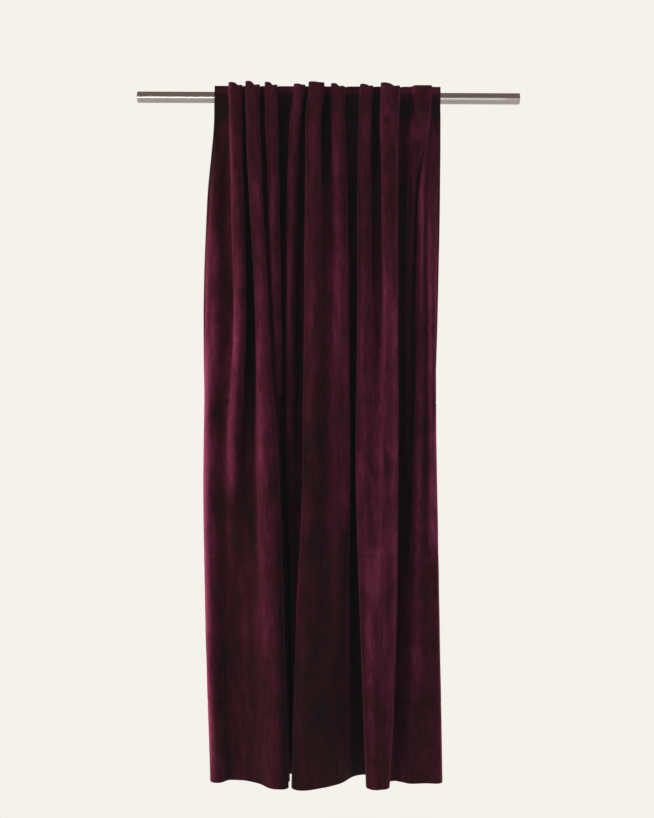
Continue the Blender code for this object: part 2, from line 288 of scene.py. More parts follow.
@dataclass(frozen=True)
class BrushedSteel:
    """Stainless steel tube, brushed along its length.

    The long fine scratches draw each reflection out into a soft line down the rod.
    """

    name: str = "brushed_steel"
    dull: str = "a8a29e"
    bright: str = "d2cdc9"
    scratch: float = 1.2 * MM  # grit lines are finer than 0.1 mm; drawn coarser so that they show
    drawn_out: float = 0.005  # width of a scratch over its length
    roughness: float = 0.27
    uneven: tuple[float, float] = (-0.06, 0.08)  # least and most that the scratches add to it
    relief: float = 0.05 * MM

    def material(self) -> bpy.types.Material:
        """Builds the steel's material, with scratches along X.

        Returns:
            The material.
        """
        made, tree, output = new_material(self.name)
        place = add_node(tree, "ShaderNodeTexCoord").outputs["Object"]
        drawn = add_node(tree, "ShaderNodeMapping", {"Scale": (self.drawn_out, 1.0, 1.0)}, {"Vector": place})
        grain = noise(tree, drawn.outputs["Vector"], self.scratch, Detail=4.0, Roughness=0.7)
        colour = tone_ramp(tree, grain, ((0.25, self.dull), (0.75, self.bright)))
        ends = dict(zip(("To Min", "To Max"), (self.roughness + extra for extra in self.uneven)))
        rough = add_node(tree, "ShaderNodeMapRange", ends, {"Value": grain}).outputs["Result"]
        lift = bump(tree, grain, 0.08, self.relief)
        inputs = {"Base Color": colour, "Roughness": rough, "Normal": lift}
        surface(tree, output, {"Metallic": 1.0, "Anisotropic": 0.4}, inputs)
        return made


@dataclass(frozen=True)
class PaintedFloor:
    """Studio floor in matt cream paint, rolled on: a plain even ground with no gloss."""

    name: str = "cream_paint"
    low: str = "eeeae2"
    high: str = "f5f2eb"
    nap: float = 1 / 3

    def material(self) -> bpy.types.Material:
        """Builds the paint, with a faint unevenness from the roller.

        Returns:
            The material.
        """
        made, tree, output = new_material(self.name)
        place = add_node(tree, "ShaderNodeTexCoord").outputs["Object"]
        nap = noise(tree, place, self.nap, Detail=2.0)
        colour = tone_ramp(tree, nap, ((0.3, self.low), (0.7, self.high)))
        surface(tree, output, {"Roughness": 0.95, "Specular IOR Level": 0.1}, {"Base Color": colour})
        return made


def make_piece(
    name: str,
    points: Sequence[Sequence[float]] | np.ndarray,
    faces: Faces,
    finish: bpy.types.Material,
    flat: np.ndarray | None = None,
    sharp: float = math.radians(50),
) -> bpy.types.Object:
    """Makes a smooth shaded mesh object with its material.

    Args:
        name: Name of the object and its mesh.
        points: Corners in metres.
        faces: Corner numbers of each face.
        finish: Material of the whole piece.
        flat: For each corner, its place on the cloth laid flat, in metres.
        sharp: Edges that turn by more than this angle stay crisp.

    Returns:
        The new object, linked to the scene.
    """
    mesh = bpy.data.meshes.new(name)
    mesh.from_pydata(np.asarray(points, float).tolist(), [], faces)
    mesh.materials.append(finish)
    mesh.polygons.foreach_set("use_smooth", [True] * len(mesh.polygons))
    if flat is not None:
        corners = np.empty(len(mesh.loops), dtype=np.int32)
        mesh.loops.foreach_get("vertex_index", corners)
        layer = mesh.uv_layers.new(name="flat")
        layer.data.foreach_set("uv", np.asarray(flat, float)[corners].ravel())
    mesh.set_sharp_from_angle(angle=sharp)
    mesh.validate()
    mesh.update()
    piece = bpy.data.objects.new(name, mesh)
    bpy.context.scene.collection.objects.link(piece)
    return piece


@dataclass(frozen=True)
class Bend:
    """A crest or a hollow of the cloth, in millimetres, one number for each level.

    Attributes:
        name: What the bend is called.
        strap: Whether a strap is sewn behind it.
        flat_top: Width of its flat place at the heading.
        flat_low: Width of its flat place from the neck of the folds down.
        sag: How far the top edge sags at the flat place's left and right end.
        across: Place along the rod at each level.
        forward: Distance in front of the rod's axis at each level.
    """

    name: str
    strap: bool
    flat_top: float
    flat_low: float
    sag: tuple[float, float]
    across: tuple[float, ...]
    forward: tuple[float, ...]


LEVELS: tuple[float, ...] = (24, 5, -20, -62, -270, -574, -903, -1283, -1752)

BENDS: tuple[Bend, ...] = (
    Bend("left edge", False, 0, 0, (0, 0),
         (-291, -291, -292, -293, -309, -318, -312, -296, -275),
         (14.5, 18.5, 13, 6, 6, -2, -18, -44, -62)),
    Bend("left ridge", True, 20, 2, (0, 0),
         (-276, -276, -276, -277, -287, -300, -303, -294, -275),
         (14.5, 18.5, 13, 6, 26, 26, 24, 24, 26)),
    Bend("left groove", False, 0, 0, (0, 0),
         (-258, -258, -258, -259, -261, -251, -268, -256, -241),
         (14.5, 18.5, 13, 6, 14, 12, 14, 8, 2)),
    Bend("fold 1", False, 14, 2, (3, 11),
         (-235, -234, -234, -234, -227, -221, -235, -228, -215),
         (49.5, 53.5, 51, 50, 62, 66, 46, 14, 4)),
    Bend("groove 1", True, 16, 2, (0, 0),
         (-207, -207, -210, -217, -204, -198, -201, -193, -176),
         (14.5, 18.5, 12, 4, 6, 0, 22, 28, 24)),
    Bend("fold 2", False, 12, 8, (4, 14),
         (-192, -192, -192, -191, -179, -160, -149, -131, -113),
         (60.5, 64.5, 62, 60, 68, 74, 78, 78, 74)),
    Bend("groove 2", True, 16, 2, (0, 0),
         (-161, -161, -163, -168, -161, -142, -125, -110, -100),
         (14.5, 18.5, 12, 4, 22, 30, 16, 20, 18)),
    Bend("fold 3", False, 10, 2, (4, 12),
         (-146, -146, -145, -144, -138, -131, -123, -119, -114),
         (54.5, 58.5, 57, 56, 60, 50, 0, -16, -24)),
    Bend("groove 3", True, 30, 4, (0, 0),
         (-109, -108, -111, -116, -116, -113, -114, -96, -91),
         (14.5, 18.5, 11, 2, 2, -12, -30, -44, -50)),
    Bend("fold 4", False, 12, 2, (3, 6),
         (-73, -73, -77, -84, -90, -93, -90, -85, -78),
         (41.5, 45.5, 43, 42, 44, 36, 12, -24, -40)),
    Bend("groove 4", True, 14, 2, (0, 0),
         (-51, -51, -55, -62, -69, -75, -77, -72, -70),
         (14.5, 18.5, 12, 4, 6, -6, -8, -14, -24)),
    Bend("fold 5", False, 16, 2, (4, 6),
         (-31, -31, -34, -38, -39, -37, -36, -47, -59),
         (58.5, 62.5, 62, 62, 74, 80, 84, 84, 82)),
    Bend("groove 5", True, 16, 2, (0, 0),
         (-1, -1, -3, -5, -3, 0, 3, -3, -5),
         (14.5, 18.5, 14, 10, 32, 50, 63, 64, 60)),
    Bend("fold 6", False, 12, 2, (3, 11),
         (21, 21, 22, 23, 30, 35, 35, 33, 30),
         (45.5, 49.5, 49, 49, 57, 62, 68, 54, 34)),
    Bend("groove 6", True, 22, 6, (0, 0),
         (63, 63, 62, 62, 69, 75, 78, 88, 107),
         (14.5, 18.5, 12, 4, 2, -12, -24, -36, -46)),
    Bend("fold 7", False, 14, 2, (3, 8),
         (96, 96, 95, 93, 89, 92, 95, 109, 129),
         (41.5, 45.5, 45, 47, 60, 66, 74, 76, 76)),
    Bend("groove 7", True, 14, 2, (0, 0),
         (128, 128, 126, 123, 123, 127, 126, 132, 138),
         (14.5, 18.5, 13, 6, 18, 36, 66, 70, 73)),
    Bend("fold 8", False, 24, 8, (4, 13),
         (154, 154, 154, 153, 154, 156, 153, 153, 144),
         (54.5, 58.5, 58, 60, 66, 66, 70, 72, 72)),
    Bend("groove 8", True, 14, 4, (0, 0),
         (199, 199, 197, 194, 192, 194, 198, 190, 180),
         (14.5, 18.5, 12, 4, 4, -8, -20, -14, 4)),
    Bend("fold 9", False, 34, 2, (1, 1),
         (242, 241, 240, 236, 214, 208, 206, 196, 187),
         (28.5, 32.5, 31, 31, 30, 12, -8, -8, 8)),
    Bend("groove 9", False, 0, 0, (0, 0),
         (253, 252, 251, 248, 220, 219, 214, 203, 194),
         (16.5, 20.5, 16, 12, 6, -6, -14, -2, 12)),
    Bend("fold 10", False, 0, 0, (0, 0),
         (263, 263, 261, 258, 242, 242, 237, 227, 219),
         (15.5, 19.5, 16, 12, 22, 26, 28, 26, 26)),
    Bend("groove 10", False, 0, 0, (0, 0),
         (268, 268, 267, 266, 249, 253, 255, 255, 257),
         (14.5, 18.5, 15, 11, 20, 18, 18, 22, 22)),
    Bend("right ridge", True, 10, 2, (0, 0),
         (277, 276, 277, 276, 259, 266, 269, 275, 283),
         (14.5, 18.5, 14, 10, 24, 26, 24, 24, 24)),
    Bend("right edge", False, 0, 0, (0, 0),
         (286, 286, 286, 287, 286, 282, 276, 278, 287),
         (14.5, 18.5, 14, 10, 8, -4, -16, -34, -46)),
)


@dataclass
class FoldPlan:
    """The cloth's plan curve at any height, from the fold table.

    Between two bends the cloth's direction swings out and back as a river's does, and at
    every height the depths are stretched until the curve is as long as the cloth is wide.
    """

    bends: tuple[Bend, ...] = BENDS
    width: float = 1350.0
    rest_levels: tuple[float, ...] = (14.5, 18.5, 12, 4, 6, 8, 10, 10, 10)
    steepest: float = math.radians(106)
    fine_steps: int = 40
    bunching: float = 0.2
    heading_line: float = -62
    flat_fade: float = 160
    edge_lead: float = 0.6  # how far the cloth's side edges follow the run beside them
    swing_most: float = 3.2
    swing_tries: int = 33
    scale_ends: tuple[float, float] = (0.8, 1.4)
    scale_rounds: int = 4
    scale_heights: tuple[float, ...] = (
        24, 15, 5, -7, -20, -40, -62, -100, -150, -210, -270, -350, -450, -574, -700, -800,
        -903, -1030, -1150, -1283, -1440, -1600, -1752,
    )
    _scales: list[float] = field(default_factory=list)

    def along_levels(self, values: Sequence[float], height: float) -> float:
        """Smooth value at a height from one number per level, with no overshoot.

        Args:
            values: One number for each level.
            height: Height above the rod's axis in millimetres.

        Returns:
            The value at that height.
        """
        levels = np.array(LEVELS[::-1], float)
        numbers = np.array(values[::-1], float)
        steps = np.diff(levels)
        slopes = np.diff(numbers) / steps
        before, after = slopes[:-1], slopes[1:]
        same = before * after > 0
        mean = np.where(same, 2 * before * after / np.where(same, before + after, 1), 0)
        tangents = np.concatenate([[slopes[0]], mean, [0.0]])
        at = float(np.clip(height, levels[0], levels[-1]))
        i = int(np.clip(np.searchsorted(levels, at) - 1, 0, len(steps) - 1))
        t = (at - levels[i]) / steps[i]
        start = numbers[i] * (2 * t**3 - 3 * t**2 + 1) + steps[i] * tangents[i] * (t**3 - 2 * t**2 + t)
        end = numbers[i + 1] * (3 * t**2 - 2 * t**3) + steps[i] * tangents[i + 1] * (t**3 - t**2)
        return float(start + end)

    def flat_at(self, bend: Bend, height: float) -> float:
        """Width of a bend's flat place: the heading's down to the stitches, then easing off.

        Args:
            bend: The bend.
            height: Height in millimetres.

        Returns:
            Width in millimetres.
        """
        share = float(np.clip((self.heading_line - height) / self.flat_fade, 0, 1))
        ease = share * share * (3 - 2 * share)
        return bend.flat_top * (1 - ease) + bend.flat_low * ease

    def run(self, start: np.ndarray, end: np.ndarray, lead: float, tail: float) -> np.ndarray:
        """The cloth between two bends, finely.

        Args:
            start: Where the run leaves the first bend, in millimetres.
            end: Where it reaches the second.
            lead: Direction in which it leaves.
            tail: Direction in which it arrives.

        Returns:
            Points of the run, one row each.
        """
        dx, dy = float(end[0] - start[0]), float(end[1] - start[1])
        direction = math.atan2(dy, dx)
        shear = 0.0
        if abs(direction) > self.steepest:
            upright = abs(dy) / math.tan(self.steepest)
            shear = (dx - upright) / dy
            dx = upright
            direction = math.copysign(self.steepest, dy)
        share = (np.arange(self.fine_steps) + 0.5) / self.fine_steps
        swings = np.linspace(-self.swing_most, self.swing_most, self.swing_tries)[:, None]
        turns = lead * (1 - share) + tail * share + swings * np.sin(np.pi * share)
        ends = np.arctan2(np.sin(turns).sum(axis=1), np.cos(turns).sum(axis=1))
        swing = float(np.interp(direction, ends, swings[:, 0]))
        turn = lead * (1 - share) + tail * share + swing * np.sin(np.pi * share)
        path = np.concatenate([[0], np.cumsum(np.exp(1j * turn))])
        path = path * complex(dx, dy) / path[-1]
        return np.column_stack([start[0] + path.real + shear * path.imag, start[1] + path.imag])

    def runs(self, height: float, scale: float) -> list[np.ndarray]:
        """Every run of the cloth at a height.

        Args:
            height: Height in millimetres.
            scale: How far the depths are stretched about the rest depth.

        Returns:
            The swings between bends and the flat places on them, left to right.
        """
        rest = self.along_levels(self.rest_levels, height)
        centres = []
        for bend in self.bends:
            forward = self.along_levels(bend.forward, height)
            centres.append((self.along_levels(bend.across, height), rest + (forward - rest) * scale))
        spans = np.diff(np.array(centres), axis=0)
        angles = [math.atan2(dy, dx) for dx, dy in spans]
        inner = [0.0 if a * b <= 0 else 2 * a * b / (a + b) for a, b in zip(angles, angles[1:])]
        through = [self.edge_lead * angles[0], *inner, self.edge_lead * angles[-1]]
        made: list[np.ndarray] = []
        start = None
        for i, (bend, centre) in enumerate(zip(self.bends, centres)):
            half = self.flat_at(bend, height) / 2
            lean = np.array([math.cos(through[i]), math.sin(through[i])]) * half
            if start is not None:
                made.append(self.run(start, centre - lean, through[i - 1], through[i]))
            if bend.flat_top > 0:
                made.append(np.array([centre - lean, centre + lean]))
            start = centre + lean
        return made

    @staticmethod
    def length(points: np.ndarray) -> float:
        """Length of a line of points."""
        return float(np.hypot(*np.diff(points, axis=0).T).sum())

    def _solve_scale(self, height: float) -> float:
        """Stretch of the depths at which the cloth keeps its width at a height.

        Args:
            height: Height in millimetres.

        Returns:
            The stretch, one for the depths as they are in the table.
        """
        low, high = self.scale_ends
        short = sum(map(self.length, self.runs(height, low))) - self.width
        long = sum(map(self.length, self.runs(height, high))) - self.width
        scale = 1.0
        for _ in range(self.scale_rounds):
            scale = low - short * (high - low) / (long - short)
            miss = sum(map(self.length, self.runs(height, scale))) - self.width
            if miss < 0:
                low, short = scale, miss
            else:
                high, long = scale, miss
        return scale

    def scale_at(self, height: float) -> float:
        """Stretch of the depths at any height, between those solved once.

        Args:
            height: Height in millimetres.

        Returns:
            The stretch.
        """
        if not self._scales:
            self._scales = [self._solve_scale(h) for h in self.scale_heights]
        return float(np.interp(-height, [-h for h in self.scale_heights], self._scales))

    def line(self, height: float, per_run: int, per_flat: int) -> np.ndarray:
        """The cloth's middle line at a height, one point for each column.

        Args:
            height: Height in millimetres.
            per_run: Columns in each swing between bends.
            per_flat: Columns in each flat place.

        Returns:
            X and Y of each column in metres, +Y to the back.
        """
        parts = []
        for points in self.runs(height, self.scale_at(height)):
            columns = per_flat if len(points) == 2 else per_run
            lengths = np.concatenate([[0], np.cumsum(np.hypot(*np.diff(points, axis=0).T))])
            share = np.linspace(0, 1, columns + 1)
            share = share - self.bunching * np.sin(2 * np.pi * share) / (2 * np.pi)
            at = share * lengths[-1]
            part = np.column_stack([np.interp(at, lengths, points[:, i]) for i in (0, 1)])
            parts.append(part if not parts else part[1:])
        joined = np.vstack(parts)
        return np.column_stack([joined[:, 0], -joined[:, 1]]) * MM

    def top_sags(self, per_run: int, per_flat: int) -> np.ndarray:
        """How far the top edge sags at each column, most at a crest's right shoulder.

        Args:
            per_run: Columns in each swing between bends.
            per_flat: Columns in each flat place.

        Returns:
            Sag of each column in metres.
        """
        sags, last = [0.0], 0.0
        for bend in self.bends:
            if bend is not self.bends[0]:
                sags += list(np.linspace(last, bend.sag[0], per_run + 1)[1:])
            if bend.flat_top > 0:
                share = np.linspace(0, 1, per_flat + 1)[1:]
                sags += list(bend.sag[0] + (bend.sag[1] - bend.sag[0]) * share * share)
            last = bend.sag[1]
        return np.array(sags) * MM

    def forward_at(self, bend: Bend, height: float) -> float:
        """How far in front of the rod's axis a bend stands at a height, in metres."""
        rest = self.along_levels(self.rest_levels, height)
        return (rest + (self.along_levels(bend.forward, height) - rest) * self.scale_at(height)) * MM


class CreaseKind(Enum):
    """Which way a crease goes, seen from the face."""

    RIDGE = 1
    TROUGH = -1


@dataclass(frozen=True)
class Crease:
    """A crease laid in the cloth's face.

    Attributes:
        name: What the crease is.
        kind: Ridge or trough.
        line: Points it follows as (X, Z) in metres, seen from the front.
        width: Half width of the crease.
        depth: Height or depth at its middle.
    """

    name: str
    kind: CreaseKind
    line: tuple[tuple[float, float], ...]
    width: float
    depth: float

    def offset(self, x: np.ndarray, z: np.ndarray) -> np.ndarray:
        """How far the crease moves each point of the face.

        Args:
            x: Place of each point across the front.
            z: Height of each point.

        Returns:
            Signed distance along the face's normal, in metres.
        """
        nearest = np.full(x.shape, FAR)
        for (ax, az), (bx, bz) in zip(self.line, self.line[1:]):
            dx, dz = bx - ax, bz - az
            share = np.clip(((x - ax) * dx + (z - az) * dz) / (dx * dx + dz * dz), 0, 1)
            nearest = np.minimum(nearest, np.hypot(x - ax - share * dx, z - az - share * dz))
        return self.kind.value * self.depth * np.exp(-((nearest / self.width) ** 2))


@dataclass(frozen=True)
class PileAndShadeMark:
    """A line or patch of tone in the pile, used for painted highlights, for painted shade and for pile that
    lies another way.

    Attributes:
        name: What the mark is.
        line: Points it follows, in the photograph's pixels.
        half_width: Half its width in pixels.
        tone: How far it darkens, below nought, or brightens.
        tall: How many times taller than wide its reach is.
        fade: Pixels over which it fades in from the top and out to the bottom.
    """

    name: str
    line: tuple[tuple[float, float], ...]
    half_width: float
    tone: float
    tall: float = 1.0
    fade: float = 0.0

    def tint(self, px: np.ndarray, py: np.ndarray) -> np.ndarray:
        """Change of tone that the mark gives each point.

        Args:
            px: Place of each point across the front view, in pixels.
            py: Place of each point down it.

        Returns:
            Tone to add, strongest on the line.
        """
        nearest = np.full(px.shape, FAR)
        for (ax, ay), (bx, by) in zip(self.line, self.line[1:]):
            dx, dy = bx - ax, (by - ay) / self.tall
            down = (py - ay) / self.tall
            share = np.clip(((px - ax) * dx + down * dy) / (dx * dx + dy * dy), 0, 1)
            nearest = np.minimum(nearest, np.hypot(px - ax - share * dx, down - share * dy))
        tint = self.tone * np.exp(-((nearest / self.half_width) ** 2))
        if self.fade > 0:
            tint *= np.clip((py - self.line[0][1]) / self.fade, 0, 1)
            tint *= np.clip((self.line[-1][1] - py) / self.fade, 0, 1)
        return tint


def soft_noise(u: np.ndarray, v: np.ndarray, size_u: float, size_v: float, seed: int) -> np.ndarray:
    """Smooth unevenness over the cloth laid flat, the same at every run.

    Args:
        u: Place across the cloth in metres.
        v: Place down the cloth in metres.
        size_u: Size of its swells across.
        size_v: Size of its swells down.
        seed: Number that picks the pattern.

    Returns:
        Values from about -1 to 1.
    """
    rng = np.random.default_rng(seed)
    a = (u - u.min()) / size_u
    b = (v - v.min()) / size_v
    grid = rng.uniform(-1, 1, (int(a.max()) + 3, int(b.max()) + 3))
    i, j = a.astype(int), b.astype(int)
    s, t = a - i, b - j
    s, t = s * s * (3 - 2 * s), t * t * (3 - 2 * t)
    top = grid[i, j] * (1 - s) + grid[i + 1, j] * s
    low = grid[i, j + 1] * (1 - s) + grid[i + 1, j + 1] * s
    return top * (1 - t) + low * t


def photo_place(px: float, py: float, forward: float = 0.06) -> tuple[float, float]:
    """X and Z of a place read off the photograph, on cloth so far in front of the rod.

    Args:
        px: Pixels from the photograph's left edge.
        py: Pixels from its top.
        forward: Distance in front of the rod's axis in metres.

    Returns:
        X and Z in metres.
    """
    per_pixel = (Studio.distance - forward) / Studio.focal_pixels
    return (px - Studio.centre_x) * per_pixel, Studio.eye_height + (Studio.horizon - py) * per_pixel


def ridge(name: str, width: float, depth: float, *places: tuple[float, float]) -> Crease:
    """A ridge through places read off the photograph, with width and depth in millimetres."""
    return Crease(name, CreaseKind.RIDGE, tuple(photo_place(*p) for p in places), width * MM, depth * MM)


def trough(name: str, width: float, depth: float, *places: tuple[float, float]) -> Crease:
    """A trough through places read off the photograph, with width and depth in millimetres."""
    return Crease(name, CreaseKind.TROUGH, tuple(photo_place(*p) for p in places), width * MM, depth * MM)


def stroke(name: str, half_width: float, tone: float, *places: tuple[float, float]) -> PileAndShadeMark:
    """A line of tone in the pile, down through places read off the photograph; used for painted highlights,
    painted shade and pressed lines.
    """
    return PileAndShadeMark(name, places, half_width, tone, fade=STROKE_FADE)


def patch(name: str, px: float, py: float, half_width: float, half_height: float, tone: float) -> PileAndShadeMark:
    """A patch of tone at a place read off the photograph, its sizes in pixels too; used for pressed pile,
    pale patches and painted shade in the dimples.
    """
    reach = max(half_height - half_width, 0.5)
    return PileAndShadeMark(name, ((px, py - reach), (px, py + reach)), half_width, tone)


@dataclass
class CurtainPanel:
    """The velvet sheet with its turned heading, side hems and bottom hem."""

    plan: FoldPlan
    top: float = 25.5 * MM
    bottom: float = -1752 * MM
    heading_line: float = -62 * MM
    bottom_hem: float = 60 * MM
    side_hem: float = 24 * MM
    thickness: float = 2.0 * MM
    hem_extra: float = 0.8 * MM
    per_run: int = 10
    per_flat: int = 2
    row_step: float = 16.0 * MM
    fine_step: float = 4.5 * MM
    packing_folds: tuple[float, ...] = (-398 * MM, -782 * MM, -1166 * MM, -1550 * MM)
    packing_reach: float = 3.6 * MM
    packing_depth: tuple[float, ...] = (0.2, 0.7, 1.0, 1.1)
    packing_sink: float = 1.1 * MM
    # how much darker the pile is along a packing crease: painted shade in the crease, and pile pressed flat
    pressed_and_shaded_crease: float = 0.20
    wander: float = 3.5 * MM  # how far a packing fold strays from its height
    wander_size: float = 90 * MM
    wander_seed: int = 40
    pressing: tuple[float, float] = (0.6, 0.5)  # mean of a packing fold's strength, and its swing
    pressing_size: float = 60 * MM
    pressing_seed: int = 60
    crest_light_hollow_shade: float = 0.14  # painted light: how much paler the pile is on a crest, and painted shade: how much darker in a hollow
    nap: float = 0.20  # painted shade: how much darker the pile is where the cloth faces right, away from the left lamps
    tone_columns: tuple[int, int] = (9, 11)  # columns over which those two are averaged
    least_step: float = 0.5 * MM
    tone_ends: tuple[float, float] = (-0.9, 1.3)
    turned_away: float = 0.35  # forward part of the normal below which the photograph's marks fade
    flats_forward: float = 40 * MM  # cloth further forward than this takes none of the heading flats' painted light and shade
    flats_fade: float = 14 * MM
    fine_above: float = 20 * MM  # rows are close together from the top to this far below the stitches
    fine_hem: float = 12 * MM
    fine_crease: float = 9 * MM
    drape: float = 0.55 * MM
    drape_size: tuple[float, float] = (55 * MM, 190 * MM)
    drape_seed: int = 7
    ripple: float = 0.28 * MM
    ripple_size: tuple[float, float] = (22 * MM, 60 * MM)
    ripple_seed: int = 11
    stitch_reach: float = 2.2 * MM
    stitch_sink: float = 0.8 * MM
    seam_sink: float = 0.4 * MM
    bend_reach: float = 14 * MM
    settling: float = 80 * MM  # depth below the heading's stitches over which the drape loosens
    calmest: float = 0.25  # share of the drape left at the heading
    close: float = 3 * MM  # a gap between two walls of a fold at which neither moves
    open_gap: float = 7 * MM
    room_columns: int = 9
    least_room: float = 0.1
    gap_share: float = 0.45  # a wall may come this far towards the next one
    same_wall: float = 3.0  # points this many times further apart along the cloth are on another wall
    far_wall: float = 1.0
    snug: float = 0.6  # share of a bend's radius that the cloth inside it may fill

    def _creases(self) -> tuple[Crease, ...]:
        """The short creases of the real cloth, read off the photograph."""
        return (
            ridge("fold 5, slanting", 6.0, 1.6, (301, 604), (309, 599), (319, 592)),
            trough("fold 2, slanting", 6.0, 1.8, (265, 544), (273, 556), (283, 569)),
            trough("heading dimple", 6.0, 2.4, (383, 119), (388, 122), (391, 123)),
            ridge("below the dimple", 5.0, 1.4, (384, 128), (390, 129)),
            trough("fold 9 dimple", 6.0, 2.2, (410, 146), (418, 145)),
            ridge("fold 7, slanting", 4.5, 1.4, (371, 388), (374, 382), (377, 376)),
            trough("left ridge, slanting", 7.0, 1.8, (211, 418), (219, 410), (227, 402)),
            trough("middle panel, level", 6.0, 1.0, (303, 321), (325, 322), (345, 320)),
        )

    def _painted_highlights(self) -> tuple[PileAndShadeMark, ...]:
        """Painted highlights: pale lines along crests and sharp edges."""
        return (
            stroke("left ridge", 5.0, 0.16, (214, 230), (213, 300), (211, 400), (209, 500)),
            stroke("left edge, light", 4.2, 0.85, (208, 330), (205, 450), (205, 560), (207, 680), (212, 780)),
            stroke("left panel, light", 5.0, 0.24, (216, 280), (214, 400), (214, 520), (214, 640)),
            stroke("left neck, light", 5.0, 0.26, (215, 215), (213, 280), (211, 370)),
            stroke("fold 1", 2.5, 0.12, (231, 50), (230, 120), (232, 160), (236, 200), (238, 310)),
            stroke("fold 1 lower", 3.5, 0.34, (238, 240), (236, 360), (234, 420), (232, 510)),
            stroke("fold 2", 2.5, 0.10, (252, 110), (256, 200), (259, 320)),
            stroke("fold 2 middle", 5.5, 0.20, (257, 260), (261, 380), (262, 450), (264, 540), (265, 660)),
            stroke("fold 8 middle", 3.0, 0.32, (383, 250), (382, 400), (381, 560)),
            stroke("fold 7", 2.5, 0.10, (362, 100), (362, 300), (360, 510)),
            stroke("fold 8 lower", 3.0, 0.16, (386, 610), (388, 700), (392, 830)),
            stroke("fold 10", 3.0, 0.40, (430, 190), (430, 320), (430, 400), (431, 470), (431, 560)),
            stroke("right edge", 2.6, 0.55, (435, 400), (435, 480), (435, 570)),
            stroke("middle panel light", 5.0, 0.22, (334, 240), (334, 360), (333, 460), (335, 580)),
            stroke("fold 9 light", 5.0, 0.34, (415, 420), (418, 500), (419, 600), (419, 720)),
            stroke("fold 8 side", 4.0, 0.20, (391, 240), (391, 360), (390, 480), (388, 580)),
            stroke("fold 1 side", 3.0, 0.18, (243, 300), (242, 380), (241, 440)),
            stroke("groove 9 light", 2.5, 0.34, (421, 140), (421, 330)),
            stroke("fold 5 edge", 1.4, 0.30,
                   (309, 60), (306, 160), (305, 250), (303, 380), (302, 450), (297, 640)),
            stroke("fold 8 edge", 1.4, 0.30,
                   (397, 60), (398, 135), (398, 300), (398, 500), (396, 700), (391, 830)),
            stroke("fold 9 edge", 1.4, 0.45,
                   (431, 60), (429, 115), (427, 130), (422, 160), (418, 200), (415, 330)),
            stroke("fold 7 face", 6.0, 0.34, (371, 260), (373, 400), (374, 540), (375, 640), (377, 700)),
            stroke("fold 6 right", 4.0, 0.36, (345, 230), (346, 330), (346, 440), (345, 560)),
            stroke("groove 3 side", 3.0, 0.24, (269, 230), (270, 300), (272, 380)),
            stroke("fold 8 right", 3.0, 0.38, (394, 270), (394, 400), (393, 560), (390, 720)),
            stroke("fold 8 to the foot", 4.0, 0.10, (384, 470), (384, 560), (386, 660)),
        )

